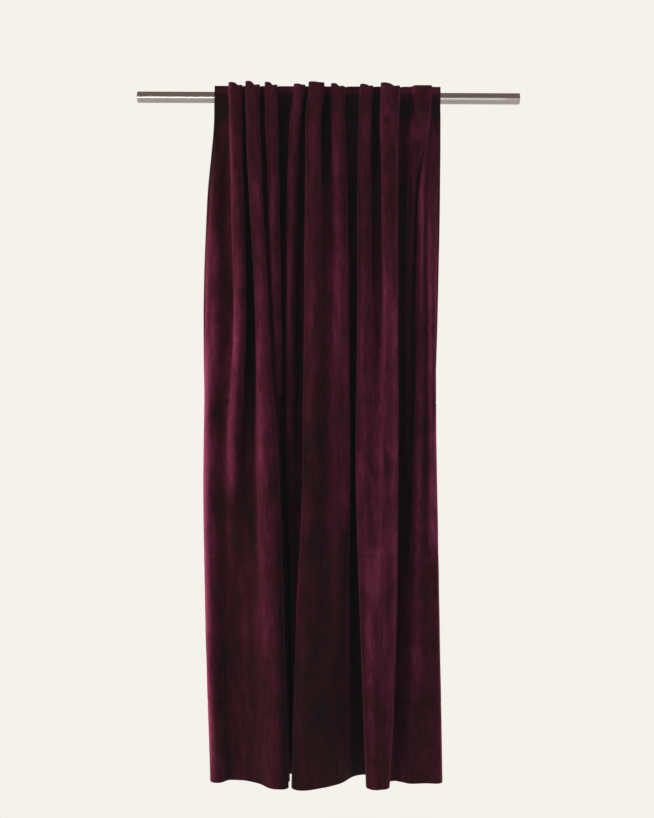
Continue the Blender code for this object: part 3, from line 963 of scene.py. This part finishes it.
    def _pressed_marks_and_painted_shade(self) -> tuple[PileAndShadeMark, ...]:
        """Patches pressed or brushed another way, as packing left them, and painted shade down the grooves,
        the necks and sides of folds and across the heading.
        """
        return (
            patch("left ridge, second crease", 216, 412, 7, 9, -0.26),
            patch("left ridge, third crease", 215, 505, 6, 11, -0.24),
            patch("fold 1, third crease", 230, 512, 5, 9, -0.26),
            patch("groove 1, third crease", 250, 512, 6, 8, -0.16),
            patch("fold 1, low", 234, 540, 7, 10, -0.18),
            patch("fold 8, thumb mark", 388, 465, 4, 11, -0.34),
            patch("fold 8, second mark", 386, 515, 5, 11, -0.16),
            patch("fold 5, left mark", 308, 437, 4, 14, -0.22),
            patch("fold 5, right mark", 320, 437, 4, 14, -0.22),
            patch("left panel, fourth crease", 225, 660, 7, 16, -0.22),
            patch("heading dimple", 387, 120, 4, 5, -0.35),
            patch("fold 9 dimple", 415, 146, 4, 6, -0.40),
            patch("fold 10, second crease", 428, 425, 4, 9, -0.24),
            patch("fold 10, below it", 424, 460, 5, 11, -0.14),
            patch("fold 7, pale patch", 376, 572, 8, 26, 0.46),
            patch("fold 7, pale tail", 374, 630, 8, 34, 0.12),
            patch("left panel, foot", 235, 720, 22, 70, -0.06),
            patch("middle panel", 325, 560, 24, 190, -0.16),
            patch("middle panel, foot", 320, 720, 28, 70, -0.08),
            patch("right panel", 415, 680, 20, 110, -0.10),
            # painted shade across the top of the heading
            PileAndShadeMark("heading", ((215, 96), (436, 96)), 24, -0.10),
            # painted shade down the grooves, the necks of the folds and the shaded sides of folds
            stroke("left edge, neck", 8.0, -0.46, (216, 40), (215, 110), (212, 160), (208, 235)),
            stroke("fold 1, neck", 7.0, -0.30, (232, 50), (233, 120), (234, 200), (236, 330)),
            stroke("groove 1", 4.5, -0.40, (246, 90), (247, 200), (250, 300), (250, 460)),
            stroke("fold 2, left side", 3.0, -0.16, (250, 60), (250, 180), (252, 300), (252, 440)),
            stroke("groove 1 right", 3.0, -0.22, (251, 230), (252, 360), (253, 470), (254, 560)),
            stroke("groove 2, neck", 3.0, -0.40, (266, 70), (267, 130), (268, 220)),
            stroke("groove 3, neck", 5.5, -0.45, (284, 80), (284, 150), (283, 240)),
            stroke("groove 3", 3.0, -0.20, (280, 100), (281, 200), (282, 300)),
            stroke("groove 4, neck", 3.0, -0.40, (306, 80), (304, 150), (300, 240)),
            stroke("groove 6, neck", 5.0, -0.40, (353, 80), (353, 140), (353, 240)),
            stroke("groove 7, neck", 3.0, -0.40, (377, 60), (376, 140), (376, 250)),
            stroke("groove 3, low", 6.0, -0.40, (287, 430), (288, 560), (290, 700), (292, 830)),
            stroke("fold 2 edge, low", 3.0, -0.22, (281, 500), (283, 620), (286, 830)),
            stroke("fold 6, low", 8.0, -0.34, (349, 500), (352, 620), (355, 720), (358, 830)),
            stroke("groove 5", 4.0, -0.45, (325, 60), (326, 150), (326, 220)),
            stroke("groove 6", 4.0, -0.30, (353, 90), (355, 250), (355, 470)),
            stroke("fold 8, neck", 6.0, -0.22, (385, 110), (386, 180), (386, 290)),
            stroke("groove 8", 8.0, -0.50, (406, 150), (407, 260), (408, 400), (408, 590)),
            stroke("fold 4 side", 5.0, -0.20, (298, 170), (297, 320), (296, 470)),
            stroke("fold 5 side", 3.5, -0.46, (307, 40), (306, 150), (305, 260), (304, 400), (303, 520)),
            stroke("fold 5 foot", 4.0, -0.30, (299, 520), (298, 600), (296, 720), (294, 830)),
            stroke("fold 5 face", 7.0, -0.26, (310, 420), (308, 500), (305, 600), (300, 830)),
            stroke("fold 7 side", 3.0, -0.28, (361, 560), (363, 620), (365, 700), (369, 830)),
            stroke("fold 7, neck", 4.0, -0.28, (361, 50), (361, 150), (360, 260), (359, 340)),
            stroke("fold 2 side", 6.0, -0.26, (252, 460), (252, 560), (252, 660), (254, 830)),
            stroke("fold 2, low", 6.0, -0.24, (260, 460), (261, 560), (262, 660), (266, 830)),
            stroke("fold 2 foot", 10.0, -0.14, (264, 640), (268, 720), (274, 830)),
            stroke("fold 1 foot", 7.0, -0.24, (236, 480), (236, 580), (238, 700)),
        )

    def _heading_marks(self) -> tuple[PileAndShadeMark, ...]:
        """The flats between the heading's folds: painted light over the rod, painted shade below it.

        Returns:
            Two marks for each flat.
        """
        flats = ((219, 9), (247, 3), (285, 9), (307, 3), (326, 4), (351, 9), (376, 3), (404, 7), (436, 4))
        under, over = 108.0, 91.5
        marks = []
        for x, half in flats:
            # painted shade under the rod and painted light over it
            marks.append(PileAndShadeMark("painted shade under the rod", ((x - half, under), (x + half, under)), 3.0, -0.55, 3.4))
            marks.append(PileAndShadeMark("painted light over the rod", ((x - half, over), (x + half, over)), 3.5, 0.40))
        return tuple(marks)

    def heights(self) -> np.ndarray:
        """Rows of the cloth from its top, close together at the heading, creases and hem.

        Returns:
            Heights in metres, falling.
        """
        crease_heights = [*self.packing_folds, *(c.line[0][1] for c in self._creases())]
        rows = [self.top]
        while rows[-1] > self.bottom + SLACK:
            z = rows[-1]
            near_hem = z < self.bottom + self.fine_hem or z > self.heading_line - self.fine_above
            near_crease = any(abs(z - c) < self.fine_crease for c in crease_heights)
            step = self.fine_step if near_hem or near_crease else self.row_step
            starts = [c + self.fine_crease - 0.1 * MM for c in crease_heights]
            ahead = sorted(s for s in starts if z - step < s < z - SLACK)
            if ahead and step == self.row_step:
                step = max(z - ahead[-1], self.fine_step)
            rows.append(max(z - step, self.bottom))
        return np.array(rows)

    def middle(self, rows: np.ndarray) -> np.ndarray:
        """The cloth's middle surface in its folds.

        Args:
            rows: Height of each row in metres.

        Returns:
            Array of rows, columns and X, Y, Z.
        """
        lines = []
        sags = self.plan.top_sags(self.per_run, self.per_flat)
        for z in rows:
            share = max(0.0, (z - self.heading_line) / (self.top - self.heading_line))
            xy = self.plan.line(z / MM, self.per_run, self.per_flat)
            lines.append(np.column_stack([xy, z - sags * share * share]))
        return np.array(lines)

    @staticmethod
    def normals(grid: np.ndarray) -> np.ndarray:
        """Unit normals of a surface grid, towards the face.

        Args:
            grid: Points by row and column.

        Returns:
            One normal for each point.
        """
        down, right = np.gradient(grid, axis=0), np.gradient(grid, axis=1)
        square = np.cross(down, right)
        return square / np.linalg.norm(square, axis=2, keepdims=True)

    @staticmethod
    def laid_flat(grid: np.ndarray) -> np.ndarray:
        """Place of each point on the cloth laid flat, across and down, in metres.

        Args:
            grid: Points by row and column.

        Returns:
            Across and down for each point.
        """
        steps = np.linalg.norm(np.diff(grid[:, :, :2], axis=1), axis=2).mean(axis=0)
        across = np.concatenate([[0.0], np.cumsum(steps)])
        return np.stack([np.broadcast_to(across, grid.shape[:2]), grid[:, :, 2]], axis=2)

    def unevenness(self, grid: np.ndarray, flat: np.ndarray) -> np.ndarray:
        """How far each point stands off the smooth fold: drape, creases and stitch lines.

        Args:
            grid: The smooth middle surface.
            flat: The same points on the cloth laid flat.

        Returns:
            Distance along the face's normal in metres.
        """
        u, v = flat[:, :, 0], flat[:, :, 1]
        x, z = grid[:, :, 0], grid[:, :, 2]
        off = self.drape * soft_noise(u, v, *self.drape_size, self.drape_seed)
        off += self.ripple * soft_noise(u, v, *self.ripple_size, self.ripple_seed)
        off -= self.packing_sink * self.packing(u, v)
        off *= np.clip((self.heading_line - v) / self.settling, self.calmest, 1)
        for one in self._creases():
            off += one.offset(x, z)
        off *= self.room_to_move(grid)
        stitches = np.exp(-(((v - self.heading_line) / self.stitch_reach) ** 2))
        low_seam = np.exp(-(((v - self.bottom - self.bottom_hem) / self.stitch_reach) ** 2))
        return off - self.stitch_sink * stitches - self.seam_sink * low_seam

    def room_to_move(self, grid: np.ndarray) -> np.ndarray:
        """How freely each point can drape, little where a fold is pinched.

        Args:
            grid: The smooth middle surface.

        Returns:
            Share of the unevenness that the point takes, up to one.
        """
        free = (2 * self.half_gap(grid) - self.close) / self.open_gap
        return np.clip(self.softened(free, self.room_columns), self.least_room, 1)

    def half_gap(self, grid: np.ndarray) -> np.ndarray:
        """Almost half the distance from each point to the next wall of cloth, in metres."""
        return self.gap_share * np.array([self.nearest_wall(row[:, :2]) for row in grid])

    @staticmethod
    def turning(grid: np.ndarray) -> np.ndarray:
        """How sharply each row turns at each point, in radians a metre, above nought on a crest.

        Args:
            grid: Points by row and column.

        Returns:
            One turn for each point, nought at the row's ends.
        """
        steps = np.diff(grid[:, :, :2], axis=1)
        angle = np.unwrap(np.arctan2(steps[:, :, 1], steps[:, :, 0]), axis=1)
        lengths = np.hypot(steps[:, :, 0], steps[:, :, 1])
        bend = np.diff(angle, axis=1) / np.minimum(lengths[:, 1:], lengths[:, :-1])
        return np.pad(bend, ((0, 0), (1, 1)))

    def nearest_wall(self, row: np.ndarray) -> np.ndarray:
        """Distance from each point of a row to the cloth beyond its own bend, in metres.

        Args:
            row: X and Y of each point.

        Returns:
            One distance for each point, the far wall's where there is none nearer.
        """
        apart = np.hypot(*(row[:, None, :] - row[None, :, :]).transpose(2, 0, 1))
        along = np.concatenate([[0.0], np.cumsum(np.hypot(*np.diff(row, axis=0).T))])
        same = np.abs(along[:, None] - along[None, :]) <= self.same_wall * apart + HAIR
        return np.where(same, self.far_wall, apart).min(axis=1)

    def packing(self, u: np.ndarray, v: np.ndarray) -> np.ndarray:
        """How strongly each point is creased by the folds in which the cloth was packed.

        Args:
            u: Place across the cloth laid flat.
            v: Place down it.

        Returns:
            Nought off the creases, up to one on them, fading in and out along each.
        """
        strength = np.zeros(u.shape)
        for number, (fold, depth) in enumerate(zip(self.packing_folds, self.packing_depth)):
            strays = soft_noise(u, v * 0, self.wander_size, 1.0, self.wander_seed + number)
            varies = soft_noise(u, v * 0, self.pressing_size, 1.0, self.pressing_seed + number)
            wander = self.wander * strays
            fades = depth * (self.pressing[0] + self.pressing[1] * varies)
            strength += fades * np.exp(-(((v - fold - wander) / self.packing_reach) ** 2))
        return strength

    def backing(self, flat: np.ndarray) -> np.ndarray:
        """Thickness behind the middle surface, greater where a hem or the heading is turned.

        Args:
            flat: Place of each point on the cloth laid flat.

        Returns:
            Distance to the back in metres.
        """
        u, v = flat[:, :, 0], flat[:, :, 1]
        inside = np.minimum(u, u.max(axis=1, keepdims=True) - u)
        turned = (v > self.heading_line) | (v < self.bottom + self.bottom_hem) | (inside < self.side_hem)
        return self.thickness / 2 + np.where(turned, self.hem_extra, 0.0)

    def painted_light_and_pile_tone(self, grid: np.ndarray, flat: np.ndarray) -> np.ndarray:
        """Tone of the pile at each point, with painted light and shade.

        Args:
            grid: The cloth's middle surface.
            flat: The same points on the cloth laid flat.

        Returns:
            Tone from the painted light and shade of its bends, painted shade and pressed pile along its
            packing folds, and the marks read off the photograph: painted highlights, painted shade and
            pressed pile.
        """
        away = Studio.distance + grid[:, :, 1]
        px = Studio.centre_x + Studio.focal_pixels * grid[:, :, 0] / away
        py = Studio.horizon - Studio.focal_pixels * (grid[:, :, 2] - Studio.eye_height) / away
        # painted light and shade from the bends, and painted shade with pressed pile along the packing
        # creases
        tone = self.bend_light_and_shade(grid) - self.pressed_and_shaded_crease * self.packing(flat[:, :, 0], flat[:, :, 1])
        forward = np.clip(-self.normals(grid)[:, :, 1] / self.turned_away, 0, 1)
        # painted highlights, painted shade and pressed marks, faded where the cloth turns away from the front
        for one in (*self._painted_highlights(), *self._pressed_marks_and_painted_shade()):
            tone = tone + forward * one.tint(px, py)
        set_back = np.clip((self.flats_forward + grid[:, :, 1]) / self.flats_fade, 0, 1)
        # painted light over the rod and painted shade under it, on the heading's flats
        for one in self._heading_marks():
            tone = tone + set_back * one.tint(px, py)
        return np.clip(tone, *self.tone_ends)

    def bend_light_and_shade(self, grid: np.ndarray) -> np.ndarray:
        """Painted light and shade from the folds: paler on a crest, darker in a hollow, darker where the
        cloth faces right.

        Args:
            grid: The cloth's middle surface.

        Returns:
            Tone from the bend and the heading of each row.
        """
        steps = np.diff(grid[:, :, :2], axis=1)
        angle = np.unwrap(np.arctan2(steps[:, :, 1], steps[:, :, 0]), axis=1)
        angle = np.concatenate([angle[:, :1], (angle[:, 1:] + angle[:, :-1]) / 2, angle[:, -1:]], axis=1)
        across = np.maximum(np.gradient(self.laid_flat(grid)[:, :, 0], axis=1), self.least_step)
        turned = self.softened(np.gradient(angle, axis=1) / across, self.tone_columns[0])
        leaning = self.softened(np.sin(angle), self.tone_columns[1])
        # painted light on crests, painted shade in hollows and on the right-facing sides
        return self.crest_light_hollow_shade * np.clip(turned * self.bend_reach, -1, 1) - self.nap * leaning

    @staticmethod
    def softened(values: np.ndarray, columns: int) -> np.ndarray:
        """Values of each row, averaged over so many columns.

        Args:
            values: One number for each point.
            columns: How many columns, an odd number.

        Returns:
            The averaged numbers.
        """
        kernel = np.hanning(columns + 2)[1:-1]
        padded = np.pad(values, ((0, 0), (columns // 2, columns // 2)), mode="edge")
        return np.array([np.convolve(row, kernel / kernel.sum(), mode="valid") for row in padded])

    @staticmethod
    def skin(rows: int, columns: int) -> Faces:
        """Faces that close a face grid and a back grid into one sheet.

        Args:
            rows: Rows in each grid.
            columns: Columns in each grid.

        Returns:
            Quads with their normals outwards.
        """
        half = rows * columns
        faces: Faces = []
        for r in range(rows - 1):
            for c in range(columns - 1):
                a = r * columns + c
                d = a + columns
                faces.append((a, d, d + 1, a + 1))
                faces.append((a + half, a + half + 1, d + half + 1, d + half))
        ring = [r * columns for r in range(rows)]
        ring += [(rows - 1) * columns + c for c in range(1, columns)]
        ring += [r * columns + columns - 1 for r in range(rows - 2, -1, -1)]
        ring += list(range(columns - 2, 0, -1))
        faces += [(a, a + half, b + half, b) for a, b in zip(ring, ring[1:] + ring[:1])]
        return faces

    def build(self, finish: CutPileVelvet, ground: PlainWeave) -> bpy.types.Object:
        """Builds the cloth and dresses it in velvet, with the velvet's plain ground behind.

        Args:
            finish: The velvet.
            ground: The woven back of the velvet.

        Returns:
            The cloth.
        """
        grid = self.middle(self.heights())
        flat = self.laid_flat(grid)
        grid = grid + self.normals(grid) * self.unevenness(grid, flat)[:, :, None]
        square = self.normals(grid)
        room = self.half_gap(grid)
        turned = self.turning(grid)
        front = np.minimum(self.thickness / 2, np.minimum(room, self.snug / np.maximum(-turned, 1)))
        behind = np.minimum(self.backing(flat), np.minimum(room, self.snug / np.maximum(turned, 1)))
        face = grid + square * front[:, :, None]
        back = grid - square * behind[:, :, None]
        for side in (face, back):
            side[:, :, 2] = np.clip(side[:, :, 2], self.bottom, self.top)
        rows, columns = grid.shape[:2]
        points = np.vstack([face.reshape(-1, 3), back.reshape(-1, 3)])
        places = np.vstack([flat.reshape(-1, 2)] * 2)
        piece = make_piece("velvet_panel", points, self.skin(rows, columns), finish.material(), places)
        # painted light and shade with the pile's pressed tone, stored on the mesh for the velvet's colour
        tone = piece.data.attributes.new("painted_light_and_pile_tone", "FLOAT", "POINT")
        tone.data.foreach_set("value", np.tile(self.painted_light_and_pile_tone(grid, flat).ravel(), 2))
        piece.data.materials.append(ground.material())
        reverse = [min(p.vertices) >= rows * columns for p in piece.data.polygons]
        piece.data.polygons.foreach_set("material_index", np.array(reverse, dtype=np.int32))
        deep = np.linalg.norm(face - back, axis=2) / MM
        log.info("velvet panel: %d rows, %d columns", rows, columns)
        log.info("velvet panel: %.2f to %.2f mm thick", deep.min(), deep.max())
        return piece


@dataclass
class BackTab:
    """A strap sewn on the heading's back and passed over and behind the rod."""

    plan: FoldPlan
    number: int
    bend: Bend
    width: float = 20 * MM
    thickness: float = 1.6 * MM
    rod_radius: float = 14 * MM
    rod_gap: float = 0.6 * MM
    cloth_gap: float = 0.4 * MM
    cloth_back: float = 1.8 * MM
    upper_end: tuple[float, float] = (20.5 * MM, 17.5 * MM)
    lower_end: tuple[float, float] = (-47 * MM, -57 * MM)
    turns: int = 30
    across_steps: int = 6
    step: float = 4 * MM
    selvedge: float = 0.5  # thickness of its edges over that of its middle

    def line(self) -> np.ndarray:
        """Middle line of the strap, from its upper end over and behind the rod to its seam.

        Returns:
            Y and Z of each point in metres.
        """
        inset = self.cloth_back + self.cloth_gap + self.thickness / 2
        ends = []
        for z in self.upper_end + self.lower_end:
            ends.append((inset - self.plan.forward_at(self.bend, z / MM), z))
        radius = self.rod_radius + self.rod_gap + self.thickness / 2
        first = math.atan2(ends[1][1], ends[1][0]) - math.acos(radius / math.hypot(*ends[1]))
        last = math.atan2(ends[2][1], ends[2][0]) + math.acos(radius / math.hypot(*ends[2]))
        angles = np.linspace(first, last, self.turns + 1)
        wrap = [(radius * math.cos(t), radius * math.sin(t)) for t in angles]
        corner = np.array([ends[0], ends[1], *wrap, ends[2], ends[3]])
        return self._evenly(corner, self.step)

    @staticmethod
    def _evenly(points: np.ndarray, step: float) -> np.ndarray:
        """The same line with extra points wherever two are further apart than a step.

        Args:
            points: Points of the line.
            step: Distance in metres.

        Returns:
            The points of the finer line.
        """
        made = [points[0]]
        for a, b in zip(points, points[1:]):
            count = max(1, int(np.hypot(*(b - a)) / step))
            made += [a + (b - a) * k / count for k in range(1, count + 1)]
        return np.array(made)

    def build(self, material: bpy.types.Material) -> bpy.types.Object:
        """Builds the strap with thin selvedges.

        Args:
            material: The woven tape.

        Returns:
            The strap.
        """
        line = self.line()
        along = np.gradient(line, axis=0)
        along /= np.linalg.norm(along, axis=1)[:, None]
        square = np.column_stack([-along[:, 1], along[:, 0]])
        travelled = np.concatenate([[0], np.cumsum(np.hypot(*np.diff(line, axis=0).T))])
        middle = self.plan.along_levels(self.bend.across, 0) * MM
        shares = np.linspace(-1, 1, self.across_steps + 1)
        points, flat = [], []
        for side in (1, -1):
            for share in shares:
                slim = self.selvedge if abs(share) == 1 else 1.0
                for (y, z), (sy, sz), far in zip(line, square, travelled):
                    lift = side * slim * self.thickness / 2
                    points.append((middle + share * self.width / 2, y + sy * lift, z + sz * lift))
                    flat.append((share * self.width / 2, far))
        faces = self._faces(len(line), len(shares))
        return make_piece(f"strap_{self.number:02d}", points, faces, material, np.array(flat))

    @staticmethod
    def _faces(count: int, wide: int) -> Faces:
        """Faces of a closed ribbon of so many points along and across.

        Args:
            count: Points along it.
            wide: Points across it.

        Returns:
            Quads with their normals outwards.
        """
        back = count * wide
        faces: Faces = []
        for w in range(wide - 1):
            for i in range(count - 1):
                a, b = w * count + i, (w + 1) * count + i
                faces.append((a, b, b + 1, a + 1))
                faces.append((a + back, a + back + 1, b + back + 1, b + back))
            for i, flip in ((0, False), (count - 1, True)):
                a, b = w * count + i, (w + 1) * count + i
                quad = (a, a + back, b + back, b)
                faces.append(quad[::-1] if flip else quad)
        for w, flip in ((0, True), (wide - 1, False)):
            for i in range(count - 1):
                a = w * count + i
                quad = (a, a + back, a + back + 1, a + 1)
                faces.append(quad[::-1] if flip else quad)
        return faces


@dataclass
class CurtainRod:
    """The plain round rod, with the edges of its ends broken."""

    radius: float = 13.97 * MM
    length: float = 980 * MM
    edge: float = 0.6 * MM
    rounding: float = 0.3
    sides: int = 96
    stations: int = 24

    def profile(self) -> list[tuple[float, float]]:
        """X and radius of each ring, from one end to the other.

        Returns:
            One pair for each ring.
        """
        half, part = self.length / 2, self.edge * self.rounding
        inner = np.linspace(-half + self.edge, half - self.edge, self.stations)
        rings = [(-half, self.radius - self.edge), (-half + part, self.radius - part)]
        rings += [(float(x), self.radius) for x in inner]
        rings += [(half - part, self.radius - part), (half, self.radius - self.edge)]
        return rings

    def build(self, finish: BrushedSteel) -> bpy.types.Object:
        """Turns the rod from its profile.

        Args:
            finish: The steel.

        Returns:
            The rod.
        """
        points: list[Point] = []
        for x, radius in self.profile():
            for k in range(self.sides):
                turn = math.tau * k / self.sides
                points.append((x, radius * math.sin(turn), radius * math.cos(turn)))
        faces: Faces = []
        rings = len(self.profile())
        for r in range(rings - 1):
            for k in range(self.sides):
                a, b = r * self.sides + k, r * self.sides + (k + 1) % self.sides
                faces.append((a, a + self.sides, b + self.sides, b))
        faces.append(tuple(range(self.sides)))
        faces.append(tuple(range(rings * self.sides - 1, (rings - 1) * self.sides - 1, -1)))
        return make_piece("steel_rod", points, faces, finish.material(), sharp=math.radians(35))


@dataclass
class SoftLight:
    """A soft box in the studio.

    Attributes:
        name: Name of the light.
        place: Where it stands.
        aim: Point it faces.
        size: Width and height of its face.
        power: Watts.
        colour: sRGB hex colour.
    """

    name: str
    place: Point
    aim: Point
    size: tuple[float, float]
    power: float
    colour: str = "ffffff"

    def build(self) -> bpy.types.Object:
        """Makes the light and turns it to face its aim.

        Returns:
            The light, linked to the scene.
        """
        lamp = bpy.data.lights.new(self.name, "AREA")
        lamp.shape = "RECTANGLE"
        lamp.size, lamp.size_y = self.size
        lamp.energy = self.power
        lamp.color = linear(self.colour)[:3]
        light = bpy.data.objects.new(self.name, lamp)
        light.location = self.place
        light.visible_glossy = False
        towards = Vector(self.aim) - Vector(self.place)
        light.rotation_euler = towards.to_track_quat("-Z", "Y").to_euler()
        bpy.context.scene.collection.objects.link(light)
        return light


@dataclass
class Studio:
    """Camera, cream backdrop light, soft boxes and floor."""

    distance: ClassVar[float] = 2.9
    eye_height: ClassVar[float] = -0.827
    horizon: ClassVar[float] = 420.0
    centre_x: ClassVar[float] = 327.0
    focal_pixels: ClassVar[float] = 1129.0
    roll: float = math.radians(-0.27)
    backdrop: str = "f5f2eb"
    ambient: float = 0.08
    dim: str = "b9c2c0"  # colour of the weak light from all round
    sensor: float = 36.0  # width of the camera's sensor in millimetres
    veil: str = "060c0d"
    floor_drop: float = -2.75
    floor_half: float = 1.25

    def camera(self) -> bpy.types.Object:
        """Sets a level camera where the photographer stood.

        Returns:
            The camera.
        """
        lens = bpy.data.cameras.new("camera")
        lens.sensor_fit = "AUTO"
        lens.sensor_width = self.sensor
        lens.lens = self.sensor * self.focal_pixels / PHOTO_HEIGHT
        lens.shift_x = (PHOTO_WIDTH / 2 - self.centre_x) / PHOTO_HEIGHT
        lens.shift_y = (self.horizon - PHOTO_HEIGHT / 2) / PHOTO_HEIGHT
        camera = bpy.data.objects.new("camera", lens)
        camera.location = (0.0, -self.distance, self.eye_height)
        camera.rotation_euler = (math.radians(90), self.roll, 0.0)
        bpy.context.scene.collection.objects.link(camera)
        bpy.context.scene.camera = camera
        return camera

    def backdrop_light(self) -> None:
        """Lights the scene dimly from all round and shows a plain cream ground behind it."""
        world = bpy.data.worlds.new("studio")
        bpy.context.scene.world = world
        world.use_nodes = True
        tree = world.node_tree
        tree.nodes.clear()
        bright_from, bright_by = -0.5, -0.85
        left, right = -0.08, 0.08
        left_gain, right_gain, least_gain = 9.0, 0.6, 0.8
        place = add_node(tree, "ShaderNodeTexCoord").outputs["Generated"]
        axes = add_node(tree, "ShaderNodeSeparateXYZ", links={"Vector": place})
        upright = {"From Min": -1.0, "From Max": 1.0}
        share = add_node(tree, "ShaderNodeMapRange", upright, {"Value": axes.outputs["Z"]})
        walls = ((0.0, "f0e8e4"), (0.33, "f0e8e4"), (0.35, "ffffff"), (0.40, "ffffff"), (0.43, "988a80"))
        room = tone_ramp(tree, share.outputs["Result"], walls)
        window = ((0.325, "000000"), (0.345, "ffffff"), (0.392, "ffffff"), (0.41, "000000"))
        strip = tone_ramp(tree, share.outputs["Result"], window)
        brighter_left = {"From Min": left, "From Max": right, "To Min": left_gain, "To Max": right_gain}
        side = add_node(tree, "ShaderNodeMapRange", brighter_left, {"Value": axes.outputs["X"]})
        ahead = {"From Min": bright_from, "From Max": bright_by}
        front = add_node(tree, "ShaderNodeMapRange", ahead, {"Value": axes.outputs["Y"]})
        parts = {0: side.outputs["Result"], 1: front.outputs["Result"]}
        box = add_node(tree, "ShaderNodeMath", links=parts, operation="MULTIPLY")
        parts = {0: strip, 1: box.outputs[0]}
        gain = add_node(tree, "ShaderNodeMath", {2: least_gain}, parts, operation="MULTIPLY_ADD")
        shown = {"Color": room, "Strength": gain.outputs[0]}
        mirrored = add_node(tree, "ShaderNodeBackground", links=shown)
        dim = add_node(tree, "ShaderNodeBackground", {"Color": linear(self.dim), "Strength": self.ambient})
        cream = add_node(tree, "ShaderNodeBackground", {"Color": linear(self.backdrop)})
        path = add_node(tree, "ShaderNodeLightPath")
        either = {0: path.outputs["Is Glossy Ray"], 1: dim.outputs[0], 2: mirrored.outputs[0]}
        around = add_node(tree, "ShaderNodeMixShader", links=either)
        either = {0: path.outputs["Is Camera Ray"], 1: around.outputs[0], 2: cream.outputs[0]}
        mixed = add_node(tree, "ShaderNodeMixShader", links=either)
        add_node(tree, "ShaderNodeOutputWorld", links={"Surface": mixed.outputs[0]})

    def floor(self) -> bpy.types.Object:
        """Lays the floor well below the hem, out of the photograph's view.

        Returns:
            The floor.
        """
        half, z = self.floor_half, self.floor_drop
        points = [(x * half, y * half, z) for y in (-1, 0, 1) for x in (-1, 0, 1)]
        corners = [r * 3 + c for r in (0, 1) for c in (0, 1)]
        faces: Faces = [(a, a + 1, a + 4, a + 3) for a in corners]
        ground = make_piece("floor", points, faces, PaintedFloor().material())
        return ground

    def build(self) -> None:
        """Sets the whole studio."""
        self.camera()
        self.backdrop_light()
        self.floor()
        middle = (0.0, 0.0, -0.85)
        box = (1.1, 2.2)
        warm, cool, even = "fff6f0", "f6f8ff", "fffaf4"
        lights = (
            SoftLight("left front", (-2.3, -1.5, 0.3), middle, box, 17.0, warm),
            SoftLight("left", (-2.5, -0.3, -0.6), middle, box, 16.0, warm),
            SoftLight("left rim", (-2.2, 0.9, 0.2), middle, box, 46.0, warm),
            SoftLight("right front", (2.2, -1.6, 0.0), middle, box, 7.0, cool),
            SoftLight("right rim", (2.2, 0.9, -0.6), middle, box, 62.0, cool),
            SoftLight("front", (0.0, -3.2, 0.2), middle, (2.2, 1.1), 4.0, even),
            SoftLight("top", (-0.4, -1.5, 1.6), (0.0, 0.0, -0.3), (1.6, 0.8), 7.0, even),
        )
        for light in lights:
            light.build()
        self.grade()

    def grade(self) -> None:
        """Gives the picture the photograph's plain colours and its blacks, lifted towards green."""
        view = bpy.context.scene.view_settings
        view.view_transform = "Standard"
        view.use_curve_mapping = True
        view.curve_mapping.black_level = tuple(-lift for lift in linear(self.veil)[:3])


def dress() -> None:
    """Builds every piece, ties each to the body it rides on and reports the panel and the rod."""
    plan = FoldPlan()
    ground = PlainWeave("velvet_ground", shade="2b0d18", light="3d1422", rib=15.08 * MM)
    panel = CurtainPanel(plan).build(CutPileVelvet(), ground)
    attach(panel, "root")
    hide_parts("curtain_panel")

    tape = PlainWeave("woven_tape", shade="33121d", light="4f1e2d", rib=10.05 * MM).material()
    for number, bend in enumerate((b for b in plan.bends if b.strap), 1):
        strap = BackTab(plan, number, bend).build(tape)
        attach(strap, "root")
        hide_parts(f"back_tab_{number:02d}")

    rod = CurtainRod().build(BrushedSteel())
    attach(rod, "root")
    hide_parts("rod")
    log.info("rod: %.0f mm long", CurtainRod.length / MM)


def main() -> None:
    """Builds the object and the studio."""
    logging.basicConfig(level=logging.INFO, format="%(name)s: %(message)s")
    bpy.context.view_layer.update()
    dress()
    Studio().build()


if __name__ == "__main__":
    main()
